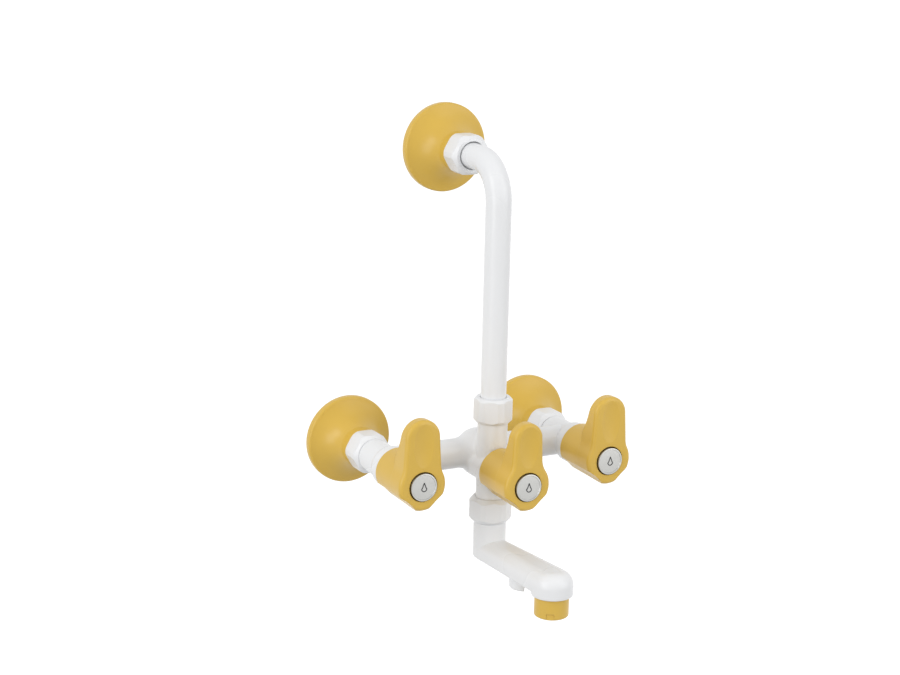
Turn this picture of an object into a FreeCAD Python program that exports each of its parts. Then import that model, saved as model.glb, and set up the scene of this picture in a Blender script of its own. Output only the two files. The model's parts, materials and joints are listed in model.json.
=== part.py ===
import FreeCAD, Part
import math
import os
import re
import Sketcher

# Wall mixer with two wall inlets, a centre diverter, a swivel spout and a bend to an overhead shower.
# Millimetres. The origin is on the wall plane, midway between the two inlets. The wall is the plane
# y = 0, the user stands on the -Y side, X runs to the user's right and Z is up.
# The legs set how far the body stands off the wall, and everything in front of them follows.

SHEET = "Sizes"

SIZES = {
    # Layout of the axes.
    "inlet_spacing": 150.0,
    "shower_rise": 214.0,
    "bar_depth": 18.7,
    "neck_advance": 21.0,
    "diverter_drop": 6.0,
    # Clearances: running fits, pieces that slide over others, faces that stay apart.
    "running_gap": 0.1,
    "sliding_gap": 0.3,
    "face_gap": 0.3,
    "overrun": 1.0,
    # Wall legs.
    "leg_wall_thread_radius": 10.48,
    "leg_wall_thread_length": 14.0,
    "leg_shank_radius": 11.2,
    "leg_shank_length": 23.0,
    "leg_union_thread_radius": 11.6,
    "leg_length": 38.6,
    "leg_bore_radius": 7.5,
    "leg_chamfer": 0.8,
    # Wall flanges.
    "flange_radius": 32.8,
    "flange_rim_depth": 3.4,
    "flange_rim_round": 2.0,
    "flange_wall": 2.1,
    "flange_neck_length": 8.0,
    "flange_curve_radius": 26.0,
    "flange_lip_round": 0.9,
    # Union nuts and what they clamp.
    "union_nut_flats": 28.0,
    "union_nut_length": 17.0,
    "union_nut_lip": 3.8,
    "union_nut_hole_radius": 10.2,
    "union_nut_face_radius": 12.4,
    "union_nut_corner_radius": 15.2,
    "union_nut_front_slope": 1.25,
    "union_nut_rear_chamfer": 0.8,
    "union_washer_thickness": 2.0,
    "union_collar_radius": 11.2,
    "union_collar_thickness": 2.6,
    "tail_neck_radius": 9.9,
    "tail_thread_radius": 9.4,
    "tail_thread_length": 6.0,
    "tail_bore_radius": 6.8,
    # Cross bar and arms.
    "bar_radius": 11.0,
    "bar_bore_radius": 6.0,
    "arm_radius": 12.3,
    "arm_length": 36.3,
    "arm_front_radius": 15.0,
    "arm_rim_length": 8.6,
    "arm_flare_length": 6.5,
    "arm_flare_radius": 10.4,
    "arm_front_round": 1.0,
    "arm_rear_round": 0.6,
    "seat_setback": 7.0,
    "seat_hole_radius": 6.5,
    "seat_wall": 2.5,
    "chamber_radius": 9.0,
    # Hub.
    "hub_ball_radius": 17.0,
    "hub_blend_radius": 14.0,
    "hub_barrel_radius": 13.0,
    "hub_lip": 0.5,
    "hub_bore_setback": 6.0,
    "neck_radius": 10.9,
    "upper_neck_top": 38.0,
    "lower_neck_bottom": 41.1,
    "neck_port_radius": 5.6,
    "neck_blend_radius": 4.0,
    "barrel_blend_radius": 2.5,
    "spigot_socket_depth": 16.0,
    "upper_socket_depth": 8.0,
    # Riser pipe and its nut.
    "riser_radius": 9.25,
    "riser_bore_radius": 7.0,
    "riser_bend_radius": 28.0,
    "riser_collar_radius": 10.3,
    "riser_collar_thickness": 2.5,
    "riser_washer_thickness": 2.0,
    "riser_nut_flats": 26.4,
    "riser_nut_length": 18.2,
    "riser_nut_lip": 3.6,
    "riser_nut_face_radius": 12.2,
    "riser_nut_corner_radius": 14.0,
    "riser_nut_turn": 27.0,
    "pipe_nut_chamfer_slope": 1.1,
    # Spout, its spigot and its nut.
    "spigot_radius": 8.2,
    "spigot_bore_radius": 5.0,
    "spigot_ring_place": 3.0,
    "spigot_ring_pitch": 5.0,
    "spout_nut_flats": 28.6,
    "spout_nut_length": 18.4,
    "spout_nut_lip": 3.8,
    "spout_nut_face_radius": 12.6,
    "spout_nut_corner_radius": 15.4,
    "spout_nut_turn": 40.0,
    "split_ring_radius": 10.8,
    "split_ring_thickness": 1.6,
    "split_ring_groove": 1.0,
    "split_ring_slot": 2.5,
    "spout_turn": 5.0,
    "spout_tube_radius": 11.9,
    "spout_tube_length": 28.1,
    "spout_reach": 80.0,
    "spout_end_radius": 14.9,
    "spout_end_drop": 2.1,
    "spout_arm_height": 15.4,
    "spout_crown_round": 9.8,
    "spout_edge_round": 2.6,
    "spout_rim_round": 1.2,
    "spout_channel_radius": 4.2,
    "spout_channel_height": 7.2,
    "plug_distance": 46.0,
    "plug_radius": 11.0,
    "plug_height": 8.0,
    "plug_round": 1.6,
    "plug_spigot_radius": 5.5,
    "plug_spigot_length": 3.9,
    "plug_slot_width": 6.4,
    "plug_slot_depth": 3.4,
    "plug_turn": -12.0,
    # Nozzle.
    "nozzle_radius": 12.2,
    "nozzle_height": 15.2,
    "nozzle_turn": -34.0,
    "nozzle_edge_round": 1.4,
    "nozzle_thread_radius": 10.2,
    "nozzle_thread_length": 6.0,
    "nozzle_bore_radius": 9.7,
    "nozzle_mouth_depth": 3.0,
    "nozzle_throat_radius": 7.4,
    "nozzle_slot_width": 5.6,
    "nozzle_slot_height": 4.6,
    "nozzle_slot_depth": 0.7,
    "nozzle_washer_thickness": 1.5,
    "straightener_height": 6.0,
    "straightener_radius": 8.6,
    "straightener_washer_hole": 6.0,
    "straightener_hole_radius": 1.1,
    "straightener_hole_ring": 5.6,
    # Valve headwork of the hot and cold sides.
    "valve_lift": 3.0,
    "valve_washer_radius": 7.6,
    "valve_washer_thickness": 2.5,
    "piston_head_radius": 7.4,
    "piston_head_thickness": 2.5,
    "piston_stem_radius": 5.8,
    "piston_gap": 0.9,
    "bonnet_sleeve_length": 9.6,
    "bonnet_flats": 24.0,
    "bonnet_flange_thickness": 4.0,
    "bonnet_gland_radius": 7.5,
    "bonnet_gland_length": 8.0,
    "bonnet_web": 2.4,
    "spindle_radius": 4.3,
    "spindle_screw_radius": 3.6,
    "spindle_collar_thickness": 2.6,
    "spindle_square": 6.0,
    "valve_boss_radius": 2.2,
    "o_ring_thickness": 1.1,
    "gland_ring_setback": 2.4,
    # Diverter.
    "rotor_length": 20.6,
    "rotor_wall": 2.1,
    "rotor_window_radius": 4.6,
    "rotor_ring_setback": 4.2,
    "diverter_sleeve_length": 4.7,
    "diverter_gland_length": 4.6,
    # Handles.
    "handle_gap": 1.2,
    "diverter_handle_gap": 0.4,
    "handle_length": 42.2,
    "handle_rear_radius": 16.8,
    "handle_front_radius": 17.9,
    "handle_cavity_radius": 14.2,
    "handle_cavity_depth": 15.0,
    "handle_face_round": 2.8,
    "handle_rear_round": 0.8,
    "lever_reach": 47.5,
    "lever_tip_radius": 13.2,
    "lever_root_width": 14.4,
    "diverter_lever_reach": 46.0,
    "diverter_lever_tip_radius": 11.4,
    "diverter_lever_root_width": 12.2,
    "lever_root_height": 15.0,
    "lever_fairing_radius": 16.0,
    "lever_tip_thickness": 8.6,
    "lever_root_thickness": 17.0,
    "lever_back_curve": 46.0,
    "knob_step": 0.15,
    "scallop_radius": 40.0,
    "scallop_depth": 2.9,
    "scallop_angle": 42.0,
    "dish_half_width": 7.5,
    "dish_half_height": 15.5,
    "dish_height": 29.0,
    "dish_depth": 1.2,
    # Caps and screws of the handles.
    "cap_radius": 9.9,
    "cap_gap": 0.8,
    "cap_proud": 1.4,
    "cap_edge_round": 1.1,
    "cap_recess_depth": 6.0,
    "cap_skirt_wall": 1.4,
    "cap_bead_height": 1.2,
    "screw_radius": 2.0,
    "screw_head_radius": 3.6,
    "screw_head_height": 2.6,
    "screw_length": 12.0,
    "screw_recess_width": 1.0,
    "screw_recess_depth": 1.2,
    "handle_web": 3.0,
}

# Places worked out from the sizes: distances from the wall, then heights above the inlets.
HALF = "inlet_spacing / 2"
COLLAR_REAR = "(leg_length + union_washer_thickness)"
COLLAR_FRONT = f"({COLLAR_REAR} + union_collar_thickness)"
NUT_FRONT = f"({COLLAR_FRONT} + union_nut_lip)"
NUT_REAR = f"({NUT_FRONT} - union_nut_length)"
ARM_REAR = f"({NUT_FRONT} + face_gap)"
ARM_FRONT = f"({ARM_REAR} + arm_length)"
BAR_AXIS = f"({ARM_REAR} + bar_depth)"
SEAT = f"({BAR_AXIS} - seat_setback)"
OUTLET_AXIS = f"({BAR_AXIS} + neck_advance)"
HUB_FRONT = f"({OUTLET_AXIS} + neck_radius + hub_lip)"
BONNET_REAR = f"({ARM_FRONT} - bonnet_sleeve_length)"
SHOULDER = f"({ARM_FRONT} + bonnet_flange_thickness - bonnet_web)"
SPINDLE_COLLAR = f"({SHOULDER} - running_gap - spindle_collar_thickness)"
WASHER_FRONT = f"({SEAT} + running_gap + valve_washer_thickness)"
PISTON_NECK = f"({WASHER_FRONT} + piston_head_thickness)"
PISTON_END = f"({SPINDLE_COLLAR} - valve_lift - piston_gap)"
SLEEVE_END = f"({HUB_FRONT} - diverter_sleeve_length)"
ROTOR_FRONT = f"({SLEEVE_END} - face_gap)"
ROTOR_REAR = f"({ROTOR_FRONT} - rotor_length)"
HANDLE_REAR = f"({ARM_FRONT} + handle_gap)"
HANDLE_FRONT = f"({HANDLE_REAR} + handle_length)"
CAVITY_FLOOR = f"({HANDLE_REAR} + handle_cavity_depth)"
RECESS_FLOOR = f"({HANDLE_FRONT} - cap_recess_depth)"
SCREW_TIP = f"({RECESS_FLOOR} - screw_length)"
DIVERTER_ADVANCE = f"({HUB_FRONT} + diverter_handle_gap - {HANDLE_REAR})"
SPIGOT_TOP = "(spigot_socket_depth - lower_neck_bottom - face_gap)"
SPLIT_RING_TOP = "(-lower_neck_bottom - running_gap * 2)"
SPLIT_RING_BOTTOM = f"({SPLIT_RING_TOP} - split_ring_thickness)"
SPOUT_NUT_BOTTOM = f"({SPLIT_RING_BOTTOM} - running_gap - spout_nut_lip)"
SPOUT_NUT_TOP = f"({SPOUT_NUT_BOTTOM} + spout_nut_length)"
TUBE_TOP = f"({SPOUT_NUT_BOTTOM} - face_gap)"
ARM_FLOOR = f"({TUBE_TOP} - spout_tube_length)"
END_FLOOR = f"({ARM_FLOOR} - spout_end_drop)"
SPIGOT_RINGS = (
    f"({SPIGOT_TOP} - spigot_ring_place - spigot_ring_pitch)",
    f"({SPIGOT_TOP} - spigot_ring_place)",
)
BETWEEN_WALLS = "((riser_radius + riser_bore_radius) / 2)"
SIDES = (("hot", "-"), ("cold", ""))
STRAIGHTENER_HOLES = 6

document = FreeCAD.newDocument("wall_mixer")
pieces = []


def fill_sheet():
    """Writes the driving sizes, one to a row, with the size's name as the cell's alias."""
    sheet = document.addObject("Spreadsheet::Sheet", SHEET)
    for row, (name, size) in enumerate(SIZES.items(), start=1):
        sheet.set(f"A{row}", name)
        sheet.set(f"B{row}", str(size))
        sheet.setAlias(f"B{row}", name)
    document.recompute()


def formula(text):
    """The expression for a formula written with the sizes' own names."""
    return re.sub(r"[a-z_]+\b", lambda m: f"{SHEET}.{m[0]}" if m[0] in SIZES else m[0], text)


def number(owner, text):
    """The value of a formula in the sizes."""
    found = owner.evalExpression(formula(text))
    return float(getattr(found, "Value", found))


def bind(owner, **settings):
    """Binds properties of an object to formulas; a double underscore stands for a dot."""
    for name, text in settings.items():
        owner.setExpression(name.replace("__", "."), formula(text))


def new_body(name, x="0", y="0", z="0"):
    """An empty body with its label and the place of its own origin in the assembly."""
    body = document.addObject("PartDesign::Body", name)
    body.Label = name
    bind(body, Placement__Base__x=x, Placement__Base__y=y, Placement__Base__z=z)
    pieces.append(body)
    return body


def new_sketch(body, name, role, x="0", y="0", z="0"):
    """A sketch on one of the body's origin planes, moved by an offset in the plane's own axes."""
    sketch = body.newObject("Sketcher::SketchObject", name)
    plane = next(f for f in body.Origin.OriginFeatures if f.Role == role)
    sketch.AttachmentSupport = [(plane, "")]
    sketch.MapMode = "FlatFace"
    bind(
        sketch,
        AttachmentOffset__Base__x=x,
        AttachmentOffset__Base__y=y,
        AttachmentOffset__Base__z=z,
    )
    return sketch


def pin_point(sketch, geometry, position, x, y):
    """Holds a point of the sketch at two formulas measured from the sketch's origin."""
    for kind, text in (("DistanceX", x), ("DistanceY", y)):
        index = sketch.addConstraint(
            Sketcher.Constraint(kind, -1, 1, geometry, position, number(sketch, text))
        )
        sketch.setExpression(f"Constraints[{index}]", formula(text))


def arc_through(start, end, radius):
    """The arc from start to end, which bulges to the right of the way unless the radius is negative."""
    chord = end - start
    side = FreeCAD.Vector(chord.y, -chord.x, 0).normalize()
    half = chord.Length / 2
    rise = abs(radius) - math.sqrt(max(radius * radius - half * half, 0.0))
    middle = (start + end) * 0.5 + side * math.copysign(rise, radius)
    return Part.Arc(start, middle, end)


def draw_loop(sketch, points):
    """A closed outline. A point is (x, y), or (x, y, radius) where an arc leads on to the next point."""
    places = [FreeCAD.Vector(number(sketch, p[0]), number(sketch, p[1]), 0) for p in points]
    first = sketch.GeometryCount
    starts = []
    for index, point in enumerate(points):
        here = places[index]
        there = places[(index + 1) % len(points)]
        if len(point) == 2:
            sketch.addGeometry(Part.LineSegment(here, there))
            starts.append((1, 2))
            continue
        arc = arc_through(here, there, number(sketch, point[2]))
        geometry = sketch.addGeometry(arc)
        begins = sketch.getPoint(geometry, 1).distanceToPoint(here) < 1e-6
        starts.append((1, 2) if begins else (2, 1))
    for index, point in enumerate(points):
        geometry = first + index
        following = (index + 1) % len(points)
        sketch.addConstraint(
            Sketcher.Constraint(
                "Coincident", geometry, starts[index][1], first + following, starts[following][0]
            )
        )
        pin_point(sketch, geometry, starts[index][0], point[0], point[1])
        if len(point) == 3:
            radius = number(sketch, point[2])
            held = sketch.addConstraint(Sketcher.Constraint("Radius", geometry, abs(radius)))
            sketch.setExpression(f"Constraints[{held}]", formula(f"abs({point[2]})"))


def draw_circle(sketch, radius, x="0", y="0"):
    """A circle with its centre at two formulas."""
    centre = FreeCAD.Vector(number(sketch, x), number(sketch, y), 0)
    circle = Part.Circle(centre, FreeCAD.Vector(0, 0, 1), number(sketch, radius))
    geometry = sketch.addGeometry(circle)
    held = sketch.addConstraint(Sketcher.Constraint("Radius", geometry, number(sketch, radius)))
    sketch.setExpression(f"Constraints[{held}]", formula(radius))
    pin_point(sketch, geometry, 3, x, y)


def check_cut(body, feature, volume):
    """Stops the build when a cut took nothing away."""
    document.recompute()
    if not body.Shape.Volume < volume - 1e-3:
        raise RuntimeError(f"{body.Label}: {feature.Name} cuts nothing")


def turn_profile(body, name, role, points, cut=False, axis="V_Axis", **offset):
    """A solid of revolution, or a groove, about one of the sketch's own axes."""
    volume = body.Shape.Volume if cut else 0.0
    sketch = new_sketch(body, f"{name}_outline", role, **offset)
    draw_loop(sketch, points)
    kind = "PartDesign::Groove" if cut else "PartDesign::Revolution"
    feature = body.newObject(kind, name)
    feature.Profile = sketch
    feature.ReferenceAxis = (sketch, [axis])
    feature.Angle = 360
    document.recompute()
    if cut:
        check_cut(body, feature, volume)
    return feature


def push(body, name, sketch, length, cut=False, backwards=False, both_ways=False):
    """A pad or pocket of a sketch along its plane's normal."""
    volume = body.Shape.Volume if cut else 0.0
    feature = body.newObject("PartDesign::Pocket" if cut else "PartDesign::Pad", name)
    feature.Profile = sketch
    feature.Reversed = backwards
    if both_ways:
        feature.Midplane = True
    bind(feature, Length=length)
    document.recompute()
    if cut:
        check_cut(body, feature, volume)
    return feature


def round_edges(body, name, radius, chosen):
    """A fillet on the edges of the body for which chosen(edge) is true."""
    base = body.Tip
    names = [f"Edge{i}" for i, edge in enumerate(base.Shape.Edges, start=1) if chosen(edge)]
    if not names:
        raise RuntimeError(f"{body.Label}: {name} found no edges")
    feature = body.newObject("PartDesign::Fillet", name)
    feature.Base = (base, names)
    bind(feature, Radius=radius)
    document.recompute()
    return feature


def lies_at(edge, axis, place):
    """True for an edge that lies in the plane where the given axis has the given value."""
    box = edge.BoundBox
    low, high = ((box.XMin, box.XMax), (box.YMin, box.YMax), (box.ZMin, box.ZMax))[axis]
    return abs(low - place) < 1e-3 and abs(high - place) < 1e-3


def joins(edge, reach):
    """True for a free-form edge near the hub's middle, where two of its shapes run into each other."""
    if edge.Degenerated or not isinstance(edge.Curve, Part.BSplineCurve):
        return False
    return max(edge.BoundBox.XMax, -edge.BoundBox.XMin) < reach


def ring_points(inner, outer, start, end):
    """The profile of a plain ring about the vertical sketch axis."""
    return [(inner, start), (outer, start), (outer, end), (inner, end)]


def rod_points(radius, start, end):
    """The profile of a plain rod about the vertical sketch axis."""
    return [("0", start), (radius, start), (radius, end), ("0", end)]


def new_o_ring(name, rod, x, y, z, along_y=True):
    """An O-ring in its groove on a rod, about an axis along Y or Z."""
    ring = document.addObject("Part::Torus", name)
    ring.Label = name
    if along_y:
        ring.Placement = FreeCAD.Placement(
            FreeCAD.Vector(), FreeCAD.Rotation(FreeCAD.Vector(1, 0, 0), 90)
        )
    bind(
        ring,
        Radius1=f"{rod} + running_gap / 2 - o_ring_thickness / 2",
        Radius2="o_ring_thickness / 2",
        Placement__Base__x=x,
        Placement__Base__y=y,
        Placement__Base__z=z,
    )
    pieces.append(ring)
    return ring


def draw_box(sketch, x, y, width, height):
    """A rectangle about a middle point."""
    left, right = f"({x}) - ({width}) / 2", f"({x}) + ({width}) / 2"
    low, high = f"({y}) - ({height}) / 2", f"({y}) + ({height}) / 2"
    draw_loop(sketch, [(left, low), (right, low), (right, high), (left, high)])


def draw_hexagon(sketch, flats):
    """A hexagon about the sketch's origin with two flats square to its vertical."""
    corner = f"({flats}) / sqrt(3)"
    half = f"({flats}) / 2"
    draw_loop(
        sketch,
        [
            (corner, "0"),
            (f"{corner} / 2", half),
            (f"-{corner} / 2", half),
            (f"-{corner}", "0"),
            (f"-{corner} / 2", f"-{half}"),
            (f"{corner} / 2", f"-{half}"),
        ],
    )


def make_hexagon(body, name, role, flats, length, **offset):
    """A six-sided bar."""
    sketch = new_sketch(body, f"{name}_outline", role, **offset)
    draw_hexagon(sketch, flats)
    return push(body, name, sketch, length)


def turn_corners(body, role, ends, corner_radius, flats, **offset):
    """Turns a six-sided bar's corners down to a radius, with a cone to a face circle at each end.

    Each end is (face, inwards, face radius, depth of the cone).
    """
    (first, first_way, first_radius, first_depth), (last, last_way, last_radius, last_depth) = ends
    outside = f"({flats}) / sqrt(3) + overrun"
    turn_profile(
        body,
        "turned_corners",
        role,
        [
            (outside, f"({first}) - overrun * ({first_way})"),
            (first_radius, f"({first}) - overrun * ({first_way})"),
            (first_radius, first),
            (corner_radius, f"({first}) + ({first_depth}) * ({first_way})"),
            (corner_radius, f"({last}) + ({last_depth}) * ({last_way})"),
            (last_radius, last),
            (last_radius, f"({last}) - overrun * ({last_way})"),
            (outside, f"({last}) - overrun * ({last_way})"),
        ],
        cut=True,
        **offset,
    )


def make_wall_leg(name, x, z):
    """A threaded leg: its rear end screws into the wall, its front end takes the union nut."""
    body = new_body(name, x=x, z=z)
    bore = "leg_bore_radius"
    wall = "leg_wall_thread_radius"
    front = "leg_union_thread_radius"
    turn_profile(
        body,
        "leg",
        "XY_Plane",
        [
            (bore, "leg_wall_thread_length"),
            (f"{wall} - leg_chamfer", "leg_wall_thread_length"),
            (wall, "leg_wall_thread_length - leg_chamfer"),
            (wall, "0"),
            ("leg_shank_radius", "0"),
            ("leg_shank_radius", "-leg_shank_length"),
            (front, "-leg_shank_length"),
            (front, "leg_chamfer - leg_length"),
            (f"{front} - leg_chamfer", "-leg_length"),
            (bore, "-leg_length"),
        ],
    )


def make_wall_flange(name, x, z):
    """A dished cover over the hole in the wall, with a neck that ends at the union nut."""
    body = new_body(name, x=x, z=z)
    end = f"({NUT_REAR} - face_gap)"
    hole = "(leg_union_thread_radius + sliding_gap)"
    neck = f"({hole} + flange_wall)"
    neck_start = f"({end} - flange_neck_length)"
    shoulder = "(flange_rim_depth + flange_rim_round)"
    turn_profile(
        body,
        "dish",
        "XY_Plane",
        [
            ("flange_radius", "0"),
            ("flange_radius", "-flange_rim_depth", "-flange_rim_round"),
            ("flange_radius - flange_rim_round", f"-{shoulder}", "flange_curve_radius"),
            (neck, f"-{neck_start}"),
            (neck, f"flange_lip_round - {end}", "-flange_lip_round"),
            (f"{neck} - flange_lip_round", f"-{end}"),
            (hole, f"-{end}"),
            (hole, f"-{neck_start}", "-flange_curve_radius - flange_wall"),
            ("flange_radius - flange_rim_round - flange_wall", f"flange_wall - {shoulder}"),
            ("flange_radius - flange_wall", "flange_wall - flange_rim_depth"),
            ("flange_radius - flange_wall", "0"),
        ],
    )


def make_union_nut(name, x, z):
    """A hexagonal nut that clamps a collar against the washer on a wall leg."""
    body = new_body(name, x=x, z=z)
    make_hexagon(
        body, "hexagon", "XZ_Plane", "union_nut_flats", "union_nut_length", z=NUT_REAR
    )
    corner = "union_nut_corner_radius"
    cone = f"({corner} - union_nut_face_radius) * union_nut_front_slope"
    rear = ("union_nut_rear_chamfer", f"{corner} - union_nut_rear_chamfer")
    turn_corners(
        body,
        "XY_Plane",
        ((f"-{NUT_REAR}", "-1", rear[1], rear[0]), (f"-{NUT_FRONT}", "1", "union_nut_face_radius", cone)),
        corner,
        "union_nut_flats",
    )
    thread = "leg_union_thread_radius + running_gap"
    turn_profile(
        body,
        "bore",
        "XY_Plane",
        [
            ("0", f"overrun - {NUT_REAR}"),
            (thread, f"overrun - {NUT_REAR}"),
            (thread, f"-{COLLAR_FRONT}"),
            ("union_nut_hole_radius", f"-{COLLAR_FRONT}"),
            ("union_nut_hole_radius", f"-{NUT_FRONT} - overrun"),
            ("0", f"-{NUT_FRONT} - overrun"),
        ],
        cut=True,
    )


def make_union_tail(name, x):
    """The collared tail that screws into an arm of the body and is held by the union nut."""
    body = new_body(name, x=x)
    turn_profile(
        body,
        "tail",
        "XY_Plane",
        [
            ("tail_bore_radius", f"-{COLLAR_REAR}"),
            ("union_collar_radius", f"-{COLLAR_REAR}"),
            ("union_collar_radius", f"-{COLLAR_FRONT}"),
            ("tail_neck_radius", f"-{COLLAR_FRONT}"),
            ("tail_neck_radius", f"-{ARM_REAR}"),
            ("tail_thread_radius", f"-{ARM_REAR}"),
            ("tail_thread_radius", f"-{ARM_REAR} - tail_thread_length"),
            ("tail_bore_radius", f"-{ARM_REAR} - tail_thread_length"),
        ],
    )


def make_union_washer(name, x, z):
    """The flat washer between a wall leg and the collar that is clamped to it."""
    body = new_body(name, x=x, z=z)
    turn_profile(
        body,
        "washer",
        "XY_Plane",
        ring_points("leg_bore_radius", "union_collar_radius", "-leg_length", f"-{COLLAR_REAR}"),
    )


def make_mixer_body():
    """The moulded body: cross bar, two arms with valve barrels, and the hub with its two necks."""
    body = new_body("mixer_body")
    rim = f"(arm_rim_length - {ARM_FRONT})"
    foot = "sqrt((hub_ball_radius + hub_blend_radius) ^ 2 - (bar_radius + hub_blend_radius) ^ 2)"
    share = "hub_ball_radius / (hub_ball_radius + hub_blend_radius)"
    crest = (f"{foot} * {share}", f"(bar_radius + hub_blend_radius) * {share}")
    turn_profile(
        body,
        "bar",
        "XY_Plane",
        [
            (f"-{HALF}", "0"),
            (HALF, "0"),
            (HALF, "bar_radius"),
            (foot, "bar_radius", "-hub_blend_radius"),
            (*crest, "hub_ball_radius"),
            (f"-{crest[0]}", crest[1], "-hub_blend_radius"),
            (f"-{foot}", "bar_radius"),
            (f"-{HALF}", "bar_radius"),
        ],
        axis="H_Axis",
        y=f"-{BAR_AXIS}",
    )
    for side, sign in SIDES:
        turn_profile(
            body,
            f"{side}_arm",
            "XY_Plane",
            [
                ("0", f"-{ARM_REAR}"),
                ("arm_radius - arm_rear_round", f"-{ARM_REAR}"),
                ("arm_radius", f"-{ARM_REAR} - arm_rear_round"),
                ("arm_radius", f"{rim} + arm_flare_length", "arm_flare_radius"),
                ("arm_front_radius", rim),
                ("arm_front_radius", f"arm_front_round - {ARM_FRONT}", "-arm_front_round"),
                ("arm_front_radius - arm_front_round", f"-{ARM_FRONT}"),
                ("0", f"-{ARM_FRONT}"),
            ],
            x=f"{sign}{HALF}",
        )
    turn_profile(
        body,
        "necks",
        "XZ_Plane",
        [
            ("0", "upper_neck_top"),
            ("neck_radius", "upper_neck_top"),
            ("neck_radius", "-lower_neck_bottom"),
            ("0", "-lower_neck_bottom"),
        ],
        z=OUTLET_AXIS,
    )
    reach = number(body, foot)
    round_edges(body, "neck_blend", "neck_blend_radius", lambda edge: joins(edge, reach))
    turn_profile(
        body,
        "hub_barrel",
        "XY_Plane",
        [
            ("0", f"hub_barrel_radius - {BAR_AXIS}", "-hub_barrel_radius"),
            ("hub_barrel_radius", f"-{BAR_AXIS}"),
            ("hub_barrel_radius", f"-{HUB_FRONT}"),
            ("0", f"-{HUB_FRONT}"),
        ],
        z="-diverter_drop",
    )
    round_edges(body, "barrel_blend", "barrel_blend_radius", lambda edge: joins(edge, reach))
    cut_waterways(body)


def cut_waterways(body):
    """Bores through the body: inlets and seats, the cross bar, the diverter barrel and both necks."""
    for side, sign in SIDES:
        turn_profile(
            body,
            f"{side}_bore",
            "XY_Plane",
            [
                ("0", f"overrun - {ARM_REAR}"),
                ("tail_thread_radius", f"overrun - {ARM_REAR}"),
                ("tail_thread_radius", f"seat_wall - {SEAT}"),
                ("seat_hole_radius", f"seat_wall - {SEAT}"),
                ("seat_hole_radius", f"-{SEAT}"),
                ("chamber_radius", f"-{SEAT}"),
                ("chamber_radius", f"-{ARM_FRONT} - overrun"),
                ("0", f"-{ARM_FRONT} - overrun"),
            ],
            cut=True,
            x=f"{sign}{HALF}",
        )
    bore = new_sketch(body, "bar_bore_outline", "YZ_Plane", x=f"-{BAR_AXIS}", z=f"-{HALF}")
    draw_circle(bore, "bar_bore_radius")
    push(body, "bar_bore", bore, "inlet_spacing", cut=True, backwards=True)
    turn_profile(
        body,
        "barrel_bore",
        "XY_Plane",
        rod_points(
            "chamber_radius", f"hub_bore_setback - {BAR_AXIS}", f"-{HUB_FRONT} - overrun"
        ),
        cut=True,
        z="-diverter_drop",
    )
    turn_profile(
        body,
        "neck_ports",
        "XZ_Plane",
        [
            ("0", "upper_neck_top + overrun"),
            ("riser_bore_radius", "upper_neck_top + overrun"),
            ("riser_bore_radius", "upper_neck_top - upper_socket_depth"),
            ("neck_port_radius", "upper_neck_top - upper_socket_depth"),
            ("neck_port_radius", "spigot_socket_depth - lower_neck_bottom"),
            ("spigot_radius + running_gap", "spigot_socket_depth - lower_neck_bottom"),
            ("spigot_radius + running_gap", "-lower_neck_bottom - overrun"),
            ("0", "-lower_neck_bottom - overrun"),
        ],
        cut=True,
        z=OUTLET_AXIS,
    )


def make_riser():
    """The pipe from the hub up and back to the wall, with a collar at each end, its nut and washer."""
    washer_top = "(upper_neck_top + riser_washer_thickness)"
    collar_top = f"({washer_top} + riser_collar_thickness)"
    body = new_body("riser_pipe", y=f"-{OUTLET_AXIS}")
    path = new_sketch(body, "route", "YZ_Plane")
    bend = "riser_bend_radius"
    corner = [
        ("0", washer_top),
        ("0", f"shower_rise - {bend}"),
        (bend, "shower_rise"),
        (f"{OUTLET_AXIS} - {COLLAR_REAR}", "shower_rise"),
    ]
    draw_route(path, corner, bend)
    ring = new_sketch(body, "section", "XY_Plane", z=washer_top)
    draw_circle(ring, "riser_radius")
    draw_circle(ring, "riser_bore_radius")
    pipe = body.newObject("PartDesign::AdditivePipe", "pipe")
    pipe.Profile = ring
    pipe.Spine = (path, ["Edge1", "Edge2", "Edge3"])
    document.recompute()
    turn_profile(
        body,
        "lower_collar",
        "XZ_Plane",
        ring_points(BETWEEN_WALLS, "riser_collar_radius", washer_top, collar_top),
    )
    turn_profile(
        body,
        "upper_collar",
        "XY_Plane",
        ring_points(
            BETWEEN_WALLS,
            "union_collar_radius",
            f"{OUTLET_AXIS} - {COLLAR_REAR}",
            f"{OUTLET_AXIS} - {COLLAR_FRONT}",
        ),
        z="shower_rise",
    )
    washer = new_body("riser_washer", y=f"-{OUTLET_AXIS}")
    turn_profile(
        washer,
        "washer",
        "XZ_Plane",
        ring_points("riser_bore_radius", "riser_collar_radius", "upper_neck_top", washer_top),
    )
    nut = new_body("riser_nut", y=f"-{OUTLET_AXIS}")
    turn_about_z(nut, "riser_nut_turn")
    top = f"({collar_top} + riser_nut_lip)"
    bottom = f"({top} - riser_nut_length)"
    make_pipe_nut(nut, "riser_nut", bottom, top)
    turn_profile(
        nut,
        "bore",
        "XZ_Plane",
        [
            ("0", f"{top} + overrun"),
            ("riser_radius + sliding_gap", f"{top} + overrun"),
            ("riser_radius + sliding_gap", collar_top),
            ("neck_radius + running_gap", collar_top),
            ("neck_radius + running_gap", f"{bottom} - overrun"),
            ("0", f"{bottom} - overrun"),
        ],
        cut=True,
    )


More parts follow.
